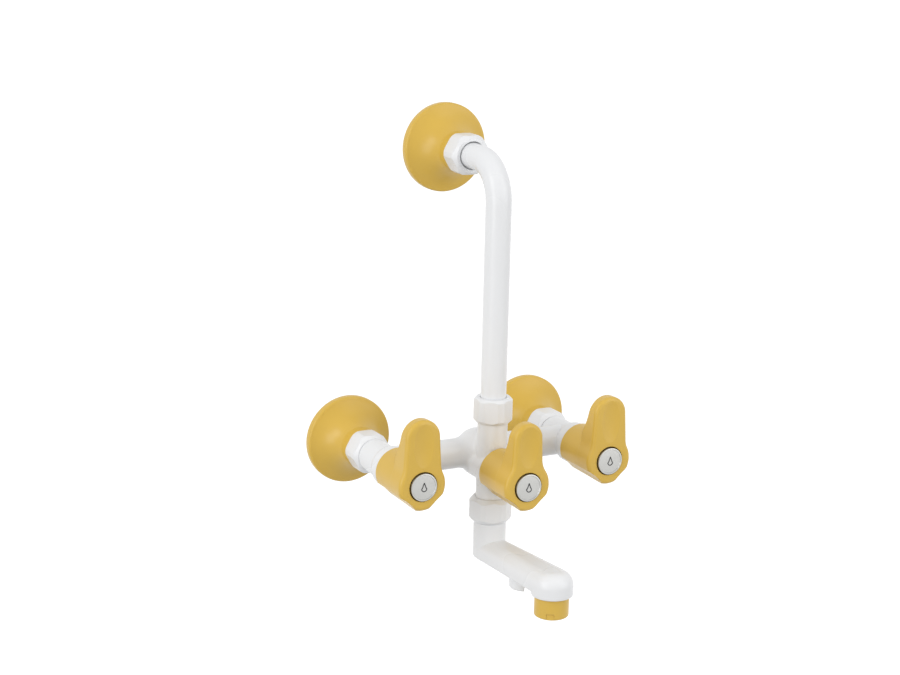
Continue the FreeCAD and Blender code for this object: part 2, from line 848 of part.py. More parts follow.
def draw_route(sketch, corners, bend):
    """A run up, a quarter turn and a run along, tangent to each other."""
    places = [FreeCAD.Vector(number(sketch, x), number(sketch, y), 0) for x, y in corners]
    radius = number(sketch, bend)
    middle = FreeCAD.Vector(
        places[1].x + radius * (1 - math.sqrt(0.5)), places[1].y + radius * math.sqrt(0.5), 0
    )
    sketch.addGeometry(Part.LineSegment(places[0], places[1]))
    arc = sketch.addGeometry(Part.Arc(places[1], middle, places[2]))
    sketch.addGeometry(Part.LineSegment(places[2], places[3]))
    arc_starts = sketch.getPoint(arc, 1).distanceToPoint(places[1]) < 1e-6
    near, far = (1, 2) if arc_starts else (2, 1)
    sketch.addConstraint(Sketcher.Constraint("Coincident", 0, 2, arc, near))
    sketch.addConstraint(Sketcher.Constraint("Coincident", arc, far, 2, 1))
    for geometry, position, corner in ((0, 1, 0), (0, 2, 1), (2, 1, 2), (2, 2, 3)):
        pin_point(sketch, geometry, position, *corners[corner])
    held = sketch.addConstraint(Sketcher.Constraint("Radius", arc, radius))
    sketch.setExpression(f"Constraints[{held}]", formula(bend))


def turn_about_z(body, angle):
    """Turns a body about the vertical through its own origin, from straight ahead to the user's right."""
    body.Placement.Rotation = FreeCAD.Rotation(FreeCAD.Vector(0, 0, 1), 1)
    bind(body, Placement__Rotation__Angle=angle)


def make_pipe_nut(body, name, bottom, top):
    """A six-sided bar on a vertical axis, with its corners turned and a cone at both ends."""
    flats, face, corner = f"{name}_flats", f"{name}_face_radius", f"{name}_corner_radius"
    cone = f"({corner} - {face}) * pipe_nut_chamfer_slope"
    make_hexagon(body, "hexagon", "XY_Plane", flats, f"{name}_length", z=bottom)
    turn_corners(
        body, "XZ_Plane", ((bottom, "1", face, cone), (top, "-1", face, cone)), corner, flats
    )


def make_spout():
    """The swivel spout: spigot, tube and crowned arm, widening to the end that holds the nozzle."""
    body = new_body("spout", y=f"-{OUTLET_AXIS}")
    turn_about_z(body, "spout_turn")
    arm = new_sketch(body, "arm_outline", "XY_Plane", z=ARM_FLOOR)
    draw_tapered_slot(arm, "spout_tube_radius", "spout_end_radius", "spout_reach")
    push(body, "arm", arm, "spout_arm_height")
    document.recompute()
    top = number(body, f"{ARM_FLOOR} + spout_arm_height")
    round_edges(body, "crown", "spout_crown_round", lambda edge: lies_at(edge, 2, top))
    bottom = number(body, ARM_FLOOR)
    round_edges(body, "lower_edge", "spout_edge_round", lambda edge: lies_at(edge, 2, bottom))
    groove_floor = "(spigot_radius - split_ring_groove)"
    groove_bottom = f"({SPLIT_RING_BOTTOM} - running_gap)"
    lower_ring, upper_ring = SPIGOT_RINGS
    turn_profile(
        body,
        "tube",
        "XZ_Plane",
        [
            ("0", f"{ARM_FLOOR} + spout_edge_round"),
            ("spout_tube_radius", f"{ARM_FLOOR} + spout_edge_round"),
            ("spout_tube_radius", TUBE_TOP),
            ("spigot_radius", TUBE_TOP),
            ("spigot_radius", groove_bottom),
            (groove_floor, groove_bottom),
            (groove_floor, SPLIT_RING_TOP),
            ("spigot_radius", SPLIT_RING_TOP),
            *groove_points("spigot_radius", lower_ring),
            *groove_points("spigot_radius", upper_ring),
            ("spigot_radius", SPIGOT_TOP),
            ("0", SPIGOT_TOP),
        ],
    )
    turn_profile(
        body,
        "end",
        "XZ_Plane",
        [
            ("0", END_FLOOR),
            ("spout_end_radius - spout_rim_round", END_FLOOR, "spout_rim_round"),
            ("spout_end_radius", f"{END_FLOOR} + spout_rim_round"),
            ("spout_end_radius", f"{ARM_FLOOR} + spout_edge_round"),
            ("0", f"{ARM_FLOOR} + spout_edge_round"),
        ],
        z="spout_reach",
    )
    channel_height = f"({ARM_FLOOR} + spout_channel_height)"
    turn_profile(
        body,
        "tube_bore",
        "XZ_Plane",
        rod_points("spigot_bore_radius", f"{SPIGOT_TOP} + overrun", channel_height),
        cut=True,
    )
    channel = new_sketch(body, "channel_outline", "XZ_Plane", y=channel_height)
    draw_circle(channel, "spout_channel_radius")
    push(body, "channel", channel, "spout_reach", cut=True, backwards=True)
    turn_profile(
        body,
        "nozzle_thread",
        "XZ_Plane",
        rod_points(
            "nozzle_thread_radius",
            f"{END_FLOOR} - overrun",
            f"{END_FLOOR} + nozzle_thread_length + nozzle_washer_thickness",
        ),
        cut=True,
        z="spout_reach",
    )
    turn_profile(
        body,
        "plug_hole",
        "XZ_Plane",
        rod_points(
            "plug_spigot_radius + running_gap",
            f"{ARM_FLOOR} - overrun",
            f"{ARM_FLOOR} + plug_spigot_length + face_gap",
        ),
        cut=True,
        z="plug_distance",
    )


def groove_points(radius, middle, downwards=False):
    """The four corners of an O-ring's groove in a rod, in the order in which the outline meets them."""
    half = "(o_ring_thickness / 2 + running_gap)"
    floor = f"({radius} - o_ring_thickness)"
    corners = [
        (radius, f"{middle} - {half}"),
        (floor, f"{middle} - {half}"),
        (floor, f"{middle} + {half}"),
        (radius, f"{middle} + {half}"),
    ]
    return corners[::-1] if downwards else corners


def draw_tapered_slot(sketch, near_radius, far_radius, reach):
    """A slot along -Y with round ends of two radii, joined by their common tangents."""
    lean = f"((({far_radius}) - ({near_radius})) / ({reach}))"
    across = f"sqrt(1 - {lean} * {lean})"
    near_x = f"({near_radius}) * {across}"
    near_y = f"({near_radius}) * {lean}"
    far_x = f"({far_radius}) * {across}"
    far_y = f"({far_radius}) * {lean} - ({reach})"
    draw_loop(
        sketch,
        [
            (near_x, near_y, near_radius),
            ("0", near_radius, near_radius),
            (f"-{near_x}", near_y),
            (f"-{far_x}", far_y, far_radius),
            ("0", f"-({reach}) - ({far_radius})", far_radius),
            (far_x, far_y),
        ],
    )


def make_spout_fittings():
    """The spout's nut, split ring, O-rings and plug, and the nozzle with what it holds."""
    nut = new_body("spout_nut", y=f"-{OUTLET_AXIS}")
    turn_about_z(nut, "spout_nut_turn")
    make_pipe_nut(nut, "spout_nut", SPOUT_NUT_BOTTOM, SPOUT_NUT_TOP)
    lip = f"{SPOUT_NUT_BOTTOM} + spout_nut_lip"
    turn_profile(
        nut,
        "bore",
        "XZ_Plane",
        [
            ("0", f"{SPOUT_NUT_TOP} + overrun"),
            ("neck_radius + running_gap", f"{SPOUT_NUT_TOP} + overrun"),
            ("neck_radius + running_gap", lip),
            ("spigot_radius + sliding_gap", lip),
            ("spigot_radius + sliding_gap", f"{SPOUT_NUT_BOTTOM} - overrun"),
            ("0", f"{SPOUT_NUT_BOTTOM} - overrun"),
        ],
        cut=True,
    )
    ring = new_body("spout_retaining_ring", y=f"-{OUTLET_AXIS}")
    ring_top = f"{SPLIT_RING_BOTTOM} + split_ring_thickness"
    turn_profile(
        ring,
        "ring",
        "XZ_Plane",
        ring_points(
            "spigot_radius - split_ring_groove + running_gap",
            "split_ring_radius",
            SPLIT_RING_BOTTOM,
            ring_top,
        ),
    )
    slot = new_sketch(ring, "slot_outline", "XY_Plane", z=f"{ring_top} + overrun")
    draw_box(slot, "0", "spigot_radius - split_ring_radius * 2", "split_ring_slot", "spigot_radius * 2")
    push(ring, "slot", slot, "split_ring_thickness + overrun * 2", cut=True)
    for name, height in zip(("spout_lower_o_ring", "spout_upper_o_ring"), SPIGOT_RINGS):
        new_o_ring(name, "spigot_radius", "0", f"-{OUTLET_AXIS}", height, along_y=False)
    make_plug()
    make_nozzle()


def on_arm(name, distance, angle):
    """A body whose own axis crosses the spout's arm at a distance from the tube, turned to an angle."""
    body = new_body(
        name,
        x=f"{distance} * sin(spout_turn)",
        y=f"-{OUTLET_AXIS} - {distance} * cos(spout_turn)",
    )
    turn_about_z(body, angle)
    return body


def make_plug():
    """The round plug under the spout's arm, with a slot for a coin or a blade."""
    plug = on_arm("spout_plug", "plug_distance", "plug_turn")
    bottom = f"{ARM_FLOOR} - plug_height"
    turn_profile(
        plug,
        "plug",
        "XZ_Plane",
        [
            ("0", f"{ARM_FLOOR} + plug_spigot_length"),
            ("plug_spigot_radius", f"{ARM_FLOOR} + plug_spigot_length"),
            ("plug_spigot_radius", ARM_FLOOR),
            ("plug_radius", ARM_FLOOR),
            ("plug_radius", f"{bottom} + plug_round", "-plug_round"),
            ("plug_radius - plug_round", bottom),
            ("0", bottom),
        ],
    )
    slot = new_sketch(plug, "slot_outline", "XZ_Plane")
    draw_box(slot, "0", bottom, "plug_slot_width", "plug_slot_depth * 2")
    push(plug, "slot", slot, "plug_radius", cut=True, backwards=True)


def make_nozzle():
    """The outlet nozzle that screws into the spout's end, its flow straightener and its washer."""
    nozzle = on_arm("nozzle", "spout_reach", "nozzle_turn")
    thread = "nozzle_thread_radius - running_gap"
    thread_top = f"{END_FLOOR} + nozzle_thread_length"
    bottom = f"{END_FLOOR} - nozzle_height"
    ledge = f"{thread_top} - straightener_height"
    turn_profile(
        nozzle,
        "shell",
        "XZ_Plane",
        [
            ("straightener_radius + running_gap", thread_top),
            (thread, thread_top),
            (thread, END_FLOOR),
            ("nozzle_radius", END_FLOOR),
            ("nozzle_radius", f"{bottom} + nozzle_edge_round", "-nozzle_edge_round"),
            ("nozzle_radius - nozzle_edge_round", bottom),
            ("nozzle_bore_radius", bottom),
            ("nozzle_bore_radius", f"{bottom} + nozzle_mouth_depth"),
            ("nozzle_throat_radius", f"{bottom} + nozzle_mouth_depth"),
            ("nozzle_throat_radius", ledge),
            ("straightener_radius + running_gap", ledge),
        ],
    )
    notch = new_sketch(nozzle, "notch_outline", "XZ_Plane", z="nozzle_radius - nozzle_slot_depth")
    draw_box(notch, "0", bottom, "nozzle_slot_width", "nozzle_slot_height * 2")
    push(nozzle, "notch", notch, "nozzle_slot_depth + overrun", cut=True, backwards=True)
    disc = on_arm("flow_straightener", "spout_reach", "nozzle_turn")
    turn_profile(disc, "disc", "XZ_Plane", rod_points("straightener_radius", ledge, thread_top))
    holes = new_sketch(disc, "holes_outline", "XY_Plane", z=f"{thread_top} + overrun")
    draw_circle(holes, "straightener_hole_radius")
    for turn in range(STRAIGHTENER_HOLES):
        angle = f"{turn} * 360 / {STRAIGHTENER_HOLES}"
        draw_circle(
            holes,
            "straightener_hole_radius",
            f"straightener_hole_ring * cos({angle})",
            f"straightener_hole_ring * sin({angle})",
        )
    push(disc, "holes", holes, "straightener_height + overrun * 2", cut=True)
    washer = on_arm("nozzle_washer", "spout_reach", "nozzle_turn")
    turn_profile(
        washer,
        "washer",
        "XZ_Plane",
        ring_points(
            "straightener_washer_hole",
            "nozzle_thread_radius - running_gap",
            thread_top,
            f"{thread_top} + nozzle_washer_thickness",
        ),
    )


def make_bonnet(name, inner, face, gland_length, x="0", z="0"):
    """A hexagonal headwork body that closes a barrel and guides the stem that passes through it."""
    body = new_body(name, x=x, z=z)
    thread = "chamber_radius - running_gap"
    front = f"({face} + bonnet_flange_thickness)"
    gland = f"({front} + {gland_length})"
    turn_profile(
        body,
        "sleeve",
        "XY_Plane",
        [
            ("spindle_radius + running_gap", f"-{inner}"),
            (thread, f"-{inner}"),
            (thread, f"-{face}"),
            ("bonnet_gland_radius", f"-{face}"),
            ("bonnet_gland_radius", f"-{gland}"),
            ("spindle_radius + running_gap", f"-{gland}"),
        ],
    )
    flange = new_sketch(body, "flange_outline", "XZ_Plane", z=face)
    draw_hexagon(flange, "bonnet_flats")
    draw_circle(flange, "spindle_radius + running_gap")
    push(body, "flange", flange, "bonnet_flange_thickness")
    return body


def make_headwork(side, x):
    """The valve of one side: bonnet, spindle with its O-ring, piston and valve washer."""
    bonnet = make_bonnet(
        f"{side}_bonnet", BONNET_REAR, ARM_FRONT, "bonnet_gland_length", x=x
    )
    turn_profile(
        bonnet,
        "piston_bore",
        "XY_Plane",
        rod_points(
            "piston_stem_radius + running_gap", f"overrun - {BONNET_REAR}", f"-{SHOULDER}"
        ),
        cut=True,
    )
    washer = new_body(f"{side}_valve_washer", x=x)
    turn_profile(
        washer,
        "washer",
        "XY_Plane",
        ring_points(
            "valve_boss_radius",
            "valve_washer_radius",
            f"-{SEAT} - running_gap",
            f"-{WASHER_FRONT}",
        ),
    )
    piston = new_body(f"{side}_valve_piston", x=x)
    turn_profile(
        piston,
        "piston",
        "XY_Plane",
        [
            ("0", f"-{SEAT} - running_gap"),
            ("valve_boss_radius", f"-{SEAT} - running_gap"),
            ("valve_boss_radius", f"-{WASHER_FRONT}"),
            ("piston_head_radius", f"-{WASHER_FRONT}"),
            ("piston_head_radius", f"-{PISTON_NECK}"),
            ("piston_stem_radius", f"-{PISTON_NECK}"),
            ("piston_stem_radius", f"-{PISTON_END}"),
            ("spindle_screw_radius + running_gap", f"-{PISTON_END}"),
            ("spindle_screw_radius + running_gap", f"-{PISTON_NECK}"),
            ("0", f"-{PISTON_NECK}"),
        ],
    )
    spindle = new_body(f"{side}_spindle", x=x)
    collar_front = f"({SPINDLE_COLLAR} + spindle_collar_thickness)"
    screw_end = f"({PISTON_NECK} + valve_lift + face_gap)"
    ring = f"({ARM_FRONT} + bonnet_flange_thickness + bonnet_gland_length - gland_ring_setback)"
    turn_profile(
        spindle,
        "stem",
        "XY_Plane",
        [
            ("0", f"-{screw_end}"),
            ("spindle_screw_radius", f"-{screw_end}"),
            ("spindle_screw_radius", f"-{SPINDLE_COLLAR}"),
            ("piston_stem_radius", f"-{SPINDLE_COLLAR}"),
            ("piston_stem_radius", f"-{collar_front}"),
            ("spindle_radius", f"-{collar_front}"),
            *groove_points("spindle_radius", f"-{ring}", downwards=True),
            ("spindle_radius", f"-{CAVITY_FLOOR}"),
            ("0", f"-{CAVITY_FLOOR}"),
        ],
    )
    add_square(spindle)
    new_o_ring(f"{side}_spindle_o_ring", "spindle_radius", x, f"-{ring}", "0")


def add_square(body):
    """The square end of a stem, on which a handle sits, with the threaded hole for its screw."""
    end = f"({RECESS_FLOOR} - handle_web - face_gap)"
    square = new_sketch(body, "square_outline", "XZ_Plane", z=CAVITY_FLOOR)
    draw_box(square, "0", "0", "spindle_square", "spindle_square")
    push(body, "square", square, f"{end} - {CAVITY_FLOOR}")
    turn_profile(
        body,
        "screw_hole",
        "XY_Plane",
        rod_points("screw_radius + running_gap", f"-{end} - overrun", f"overrun - {SCREW_TIP}"),
        cut=True,
    )


def make_diverter():
    """The diverter: a hollow rotor with two windows, its O-rings and the bonnet that holds it in."""
    make_bonnet(
        "diverter_bonnet", SLEEVE_END, HUB_FRONT, "diverter_gland_length", z="-diverter_drop"
    )
    rotor = new_body("diverter_rotor", y=f"-{DIVERTER_ADVANCE}", z="-diverter_drop")
    outside = "(chamber_radius - running_gap)"
    inside = f"({outside} - rotor_wall)"
    rear_ring = f"({ROTOR_REAR} + rotor_ring_setback)"
    stem_ring = (
        f"({HUB_FRONT} + bonnet_flange_thickness + diverter_gland_length - gland_ring_setback)"
    )
    cavity_end = f"({OUTLET_AXIS} + rotor_window_radius + face_gap)"
    turn_profile(
        rotor,
        "rotor",
        "XY_Plane",
        [
            (inside, f"{DIVERTER_ADVANCE} - {ROTOR_REAR}"),
            (outside, f"{DIVERTER_ADVANCE} - {ROTOR_REAR}"),
            *groove_points(outside, f"{DIVERTER_ADVANCE} - {rear_ring}", downwards=True),
            (outside, f"{DIVERTER_ADVANCE} - {ROTOR_FRONT}"),
            ("spindle_radius", f"{DIVERTER_ADVANCE} - {ROTOR_FRONT}"),
            *groove_points("spindle_radius", f"{DIVERTER_ADVANCE} - {stem_ring}", downwards=True),
            ("spindle_radius", f"-{CAVITY_FLOOR}"),
            ("0", f"-{CAVITY_FLOOR}"),
            ("0", f"{DIVERTER_ADVANCE} - {cavity_end}"),
            (inside, f"{DIVERTER_ADVANCE} - {cavity_end}"),
        ],
    )
    height = f"{DIVERTER_ADVANCE} - {OUTLET_AXIS}"
    down = new_sketch(rotor, "lower_window_outline", "XY_Plane")
    draw_circle(down, "rotor_window_radius", "0", height)
    push(rotor, "lower_window", down, "chamber_radius + overrun", cut=True)
    aside = new_sketch(rotor, "side_window_outline", "YZ_Plane")
    draw_circle(aside, "rotor_window_radius", height, "0")
    push(rotor, "side_window", aside, "chamber_radius + overrun", cut=True)
    add_square(rotor)
    for name, rod, distance in (
        ("diverter_rear_o_ring", outside, rear_ring),
        ("diverter_front_o_ring", "spindle_radius", stem_ring),
    ):
        new_o_ring(name, rod, "0", f"-{distance}", "-diverter_drop")


def make_handle(name, lever, x="0", y="0", z="0"):
    """A moulded lever handle: a skirt over the headwork, widening to a lobed face with a lever."""
    body = new_body(f"{name}_handle", x=x, y=y, z=z)
    plate_rear = f"({HANDLE_FRONT} - lever_root_thickness)"
    slope = "((handle_front_radius - handle_rear_radius) / handle_length)"
    front_face = new_sketch(body, "face_outline", "XZ_Plane", z=HANDLE_FRONT)
    draw_lever(front_face, lever)
    plate = push(body, "face_plate", front_face, "lever_root_thickness", backwards=True)
    bind(plate, TaperAngle=f"-atan({slope})")
    document.recompute()
    back = new_sketch(body, "lever_back_outline", "YZ_Plane")
    root = "handle_front_radius + overrun"
    tip = f"{lever}_reach + overrun"
    draw_loop(
        back,
        [
            (f"-{plate_rear}", root, "-lever_back_curve"),
            (f"lever_tip_thickness - {HANDLE_FRONT}", tip),
            (f"overrun - {plate_rear}", tip),
            (f"overrun - {plate_rear}", root),
        ],
    )
    push(body, "lever_back", back, "lever_root_width * 4", cut=True, both_ways=True)
    document.recompute()
    face = -number(body, HANDLE_FRONT)
    round_edges(body, "face_round", "handle_face_round", lambda edge: lies_at(edge, 1, face))
    reach = f"({plate_rear} + overrun)"
    turn_profile(
        body,
        "skirt",
        "XY_Plane",
        [
            ("0", f"-{HANDLE_REAR}"),
            ("handle_rear_radius - handle_rear_round", f"-{HANDLE_REAR}", "handle_rear_round"),
            ("handle_rear_radius", f"-{HANDLE_REAR} - handle_rear_round"),
            (
                f"handle_rear_radius + {slope} * ({reach} - {HANDLE_REAR}) - knob_step",
                f"-{reach}",
            ),
            ("0", f"-{reach}"),
        ],
    )
    turn_profile(
        body,
        "cavity",
        "XY_Plane",
        rod_points("handle_cavity_radius", f"overrun - {HANDLE_REAR}", f"-{CAVITY_FLOOR}"),
        cut=True,
    )
    socket = new_sketch(body, "socket_outline", "XZ_Plane", z=f"{CAVITY_FLOOR} - overrun")
    side = "spindle_square + running_gap * 2"
    draw_box(socket, "0", "0", side, side)
    web_rear = f"({RECESS_FLOOR} - handle_web)"
    push(
        body, "socket", socket, f"{web_rear} - {CAVITY_FLOOR} + overrun", cut=True, backwards=True
    )
    turn_profile(
        body,
        "cap_recess",
        "XY_Plane",
        [
            ("0", f"-{HANDLE_FRONT} - overrun"),
            ("cap_radius + cap_gap", f"-{HANDLE_FRONT} - overrun"),
            ("cap_radius + cap_gap", f"-{RECESS_FLOOR}"),
            ("screw_radius + running_gap", f"-{RECESS_FLOOR}"),
            ("screw_radius + running_gap", f"overrun - {web_rear}"),
            ("0", f"overrun - {web_rear}"),
        ],
        cut=True,
    )
    away = "(handle_front_radius + scallop_radius - scallop_depth)"
    grooves = new_sketch(body, "scallop_outline", "XZ_Plane", z=f"{HANDLE_REAR} - overrun")
    for sign in ("-", ""):
        draw_circle(
            grooves,
            "scallop_radius",
            f"{sign}{away} * sin(scallop_angle)",
            f"-{away} * cos(scallop_angle)",
        )
    push(body, "scallops", grooves, "handle_length + overrun * 2", cut=True, backwards=True)
    swing = "((dish_half_height ^ 2 + dish_depth ^ 2) / (2 * dish_depth))"
    curve = "((dish_half_width ^ 2 + dish_depth ^ 2) / (2 * dish_depth))"
    turn_profile(
        body,
        "dish",
        "XY_Plane",
        [
            ("dish_half_width", f"{swing} - dish_depth", curve),
            ("0", swing, curve),
            ("-dish_half_width", f"{swing} - dish_depth"),
            ("-dish_half_width", f"{swing} - dish_depth - overrun"),
            ("dish_half_width", f"{swing} - dish_depth - overrun"),
        ],
        cut=True,
        axis="H_Axis",
        y=f"dish_depth - {swing} - {HANDLE_FRONT}",
        z="dish_height",
    )
    make_cap(f"{name}_handle_cap", x, y, z)
    make_screw(f"{name}_handle_screw", x, y, z)


def draw_lever(sketch, lever):
    """The face of a handle: a round knob and a lever with a round tip, joined by hollow fairings."""
    tip_radius = f"{lever}_tip_radius"
    centre = f"({lever}_reach - {tip_radius})"
    lean = f"(({lever}_root_width - {tip_radius}) / ({centre} - lever_root_height))"
    across = f"sqrt(1 - {lean} ^ 2)"
    out = f"({tip_radius} + {lean} * {centre} + lever_fairing_radius)"
    up = f"sqrt((handle_front_radius + lever_fairing_radius) ^ 2 - {out} ^ 2)"
    fairing_x = f"({across} * {out} - {lean} * {up})"
    fairing_y = f"({lean} * {out} + {across} * {up})"
    share = "handle_front_radius / (handle_front_radius + lever_fairing_radius)"
    knob = (f"{fairing_x} * {share}", f"{fairing_y} * {share}")
    root = (
        f"({fairing_x} - {across} * lever_fairing_radius)",
        f"({fairing_y} - {lean} * lever_fairing_radius)",
    )
    tip = (f"{tip_radius} * {across}", f"{centre} + {tip_radius} * {lean}")
    draw_loop(
        sketch,
        [
            ("0", "-handle_front_radius", "handle_front_radius"),
            (*knob, "-lever_fairing_radius"),
            root,
            (*tip, tip_radius),
            ("0", f"{lever}_reach", tip_radius),
            (f"-{tip[0]}", tip[1]),
            (f"-{root[0]}", root[1], "-lever_fairing_radius"),
            (f"-{knob[0]}", knob[1], "handle_front_radius"),
        ],
    )


def make_cap(name, x, y, z):
    """The plain cap over a handle's screw: a cup with a bead that grips the recess."""
    body = new_body(name, x=x, y=y, z=z)
    inside = "cap_radius - cap_skirt_wall"
    bead = "cap_radius + cap_gap - running_gap / 2"
    face = f"({HANDLE_FRONT} + cap_proud)"
    turn_profile(
        body,
        "cup",
        "XY_Plane",
        [
            (inside, f"-{RECESS_FLOOR}"),
            (bead, f"-{RECESS_FLOOR}"),
            (bead, f"-{RECESS_FLOOR} - cap_bead_height"),
            ("cap_radius", f"-{RECESS_FLOOR} - cap_bead_height"),
            ("cap_radius", f"cap_edge_round - {face}"),
            ("cap_radius - cap_edge_round", f"-{face}"),
            ("0", f"-{face}"),
            ("0", f"cap_skirt_wall - {face}"),
            (inside, f"cap_skirt_wall - {face}"),
        ],
    )


def make_screw(name, x, y, z):
    """The slotted screw that draws a handle on to its square."""
    body = new_body(name, x=x, y=y, z=z)
    top = f"({RECESS_FLOOR} + screw_head_height)"
    turn_profile(
        body,
        "screw",
        "XY_Plane",
        [
            ("0", f"-{SCREW_TIP}"),
            ("screw_radius", f"-{SCREW_TIP}"),
            ("screw_radius", f"-{RECESS_FLOOR}"),
            ("screw_head_radius", f"-{RECESS_FLOOR}"),
            ("screw_head_radius", f"-{top}"),
            ("0", f"-{top}"),
        ],
    )
    slot = new_sketch(body, "slot_outline", "XZ_Plane", z=f"{top} - screw_recess_depth")
    draw_box(slot, "0", "0", "screw_head_radius * 3", "screw_recess_width")
    push(body, "slot", slot, "screw_recess_depth + overrun", cut=True, backwards=True)


def finish():
    """Checks every object, then writes each piece to its own file."""
    document.recompute()
    for thing in document.Objects:
        if {"Invalid", "Error"} & set(thing.State):
            raise RuntimeError(f"{thing.Name} failed: {thing.State}")
    for piece in pieces:
        shape = piece.Shape
        if shape.isNull() or not shape.isValid():
            raise RuntimeError(f"{piece.Label} has no valid shape")
    os.makedirs("parts", exist_ok=True)
    for piece in pieces:
        piece.Shape.exportStep(os.path.join("parts", f"{piece.Label}.step"))
        print(piece.Label, round(piece.Shape.Volume, 1), len(piece.Shape.Solids))


fill_sheet()
for place, x, z in (("hot", f"-{HALF}", "0"), ("cold", HALF, "0"), ("shower", "0", "shower_rise")):
    make_wall_leg(f"{place}_wall_leg", x, z)
    make_wall_flange(f"{place}_wall_flange", x, z)
    make_union_nut(f"{place}_union_nut", x, z)
    make_union_washer(f"{place}_union_washer", x, z)
make_mixer_body()
make_riser()
make_spout()
make_spout_fittings()
make_diverter()
make_handle("diverter", "diverter_lever", y=f"-{DIVERTER_ADVANCE}", z="-diverter_drop")
for place, x in (("hot", f"-{HALF}"), ("cold", HALF)):
    make_union_tail(f"{place}_union_tail", x)
    make_headwork(place, x)
    make_handle(place, "lever", x=x)
finish()
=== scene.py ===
"""Looks of a wall mixer: two lever valves, a diverter lever, a riser bend and a swivel spout.

Lengths are in metres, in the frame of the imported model: +X to the right of a person who faces
the wall, +Y into the wall and +Z up, from the point midway between the two inlets.
"""

import json
import logging
import math
from collections.abc import Iterable, Sequence
from dataclasses import dataclass, replace
from enum import Enum

import bpy
from mathutils import Matrix, Vector

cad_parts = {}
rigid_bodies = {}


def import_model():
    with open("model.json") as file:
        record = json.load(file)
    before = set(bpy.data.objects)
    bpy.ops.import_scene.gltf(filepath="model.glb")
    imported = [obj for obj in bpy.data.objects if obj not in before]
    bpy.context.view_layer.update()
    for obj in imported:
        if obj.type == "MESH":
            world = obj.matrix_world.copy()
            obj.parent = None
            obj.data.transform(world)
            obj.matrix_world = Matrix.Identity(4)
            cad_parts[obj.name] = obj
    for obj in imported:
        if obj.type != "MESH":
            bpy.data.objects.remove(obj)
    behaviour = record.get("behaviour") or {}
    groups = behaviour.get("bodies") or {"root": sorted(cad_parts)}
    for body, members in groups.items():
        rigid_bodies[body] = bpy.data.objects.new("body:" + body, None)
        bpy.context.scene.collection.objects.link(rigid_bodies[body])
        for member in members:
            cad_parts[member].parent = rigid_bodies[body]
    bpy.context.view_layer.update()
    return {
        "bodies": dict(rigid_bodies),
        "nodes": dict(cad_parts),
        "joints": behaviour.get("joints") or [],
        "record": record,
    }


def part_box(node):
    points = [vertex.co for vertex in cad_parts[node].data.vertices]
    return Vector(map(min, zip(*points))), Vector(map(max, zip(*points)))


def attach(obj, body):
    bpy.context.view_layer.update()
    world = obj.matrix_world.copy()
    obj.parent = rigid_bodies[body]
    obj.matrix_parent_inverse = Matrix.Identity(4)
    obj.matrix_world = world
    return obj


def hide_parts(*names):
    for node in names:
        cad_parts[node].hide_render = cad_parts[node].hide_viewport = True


LOG = logging.getLogger("wall_mixer")
CIRCLE_VERTICES = 96
MERGE_DISTANCE = 0.00001
SHARP_ANGLE = math.radians(35.0)
RGB = tuple[float, float, float]


class Slot(Enum):
    """The material slots of the record."""

    WHITE_PLASTIC = "white_plastic"
    GOLD_PLASTIC = "gold_plastic"
    SILVER_CAP = "silver_cap"
    BLACK_RUBBER = "black_rubber"
    BRASS = "brass"
    STEEL = "steel"
    GREY_PLASTIC = "grey_plastic"


class Connection(Enum):
    """The three places where the mixer meets the wall."""

    HOT = "hot"
    COLD = "cold"
    SHOWER = "shower"


class Control(Enum):
    """The three lever handles."""

    HOT = "hot"
    COLD = "cold"
    DIVERTER = "diverter"


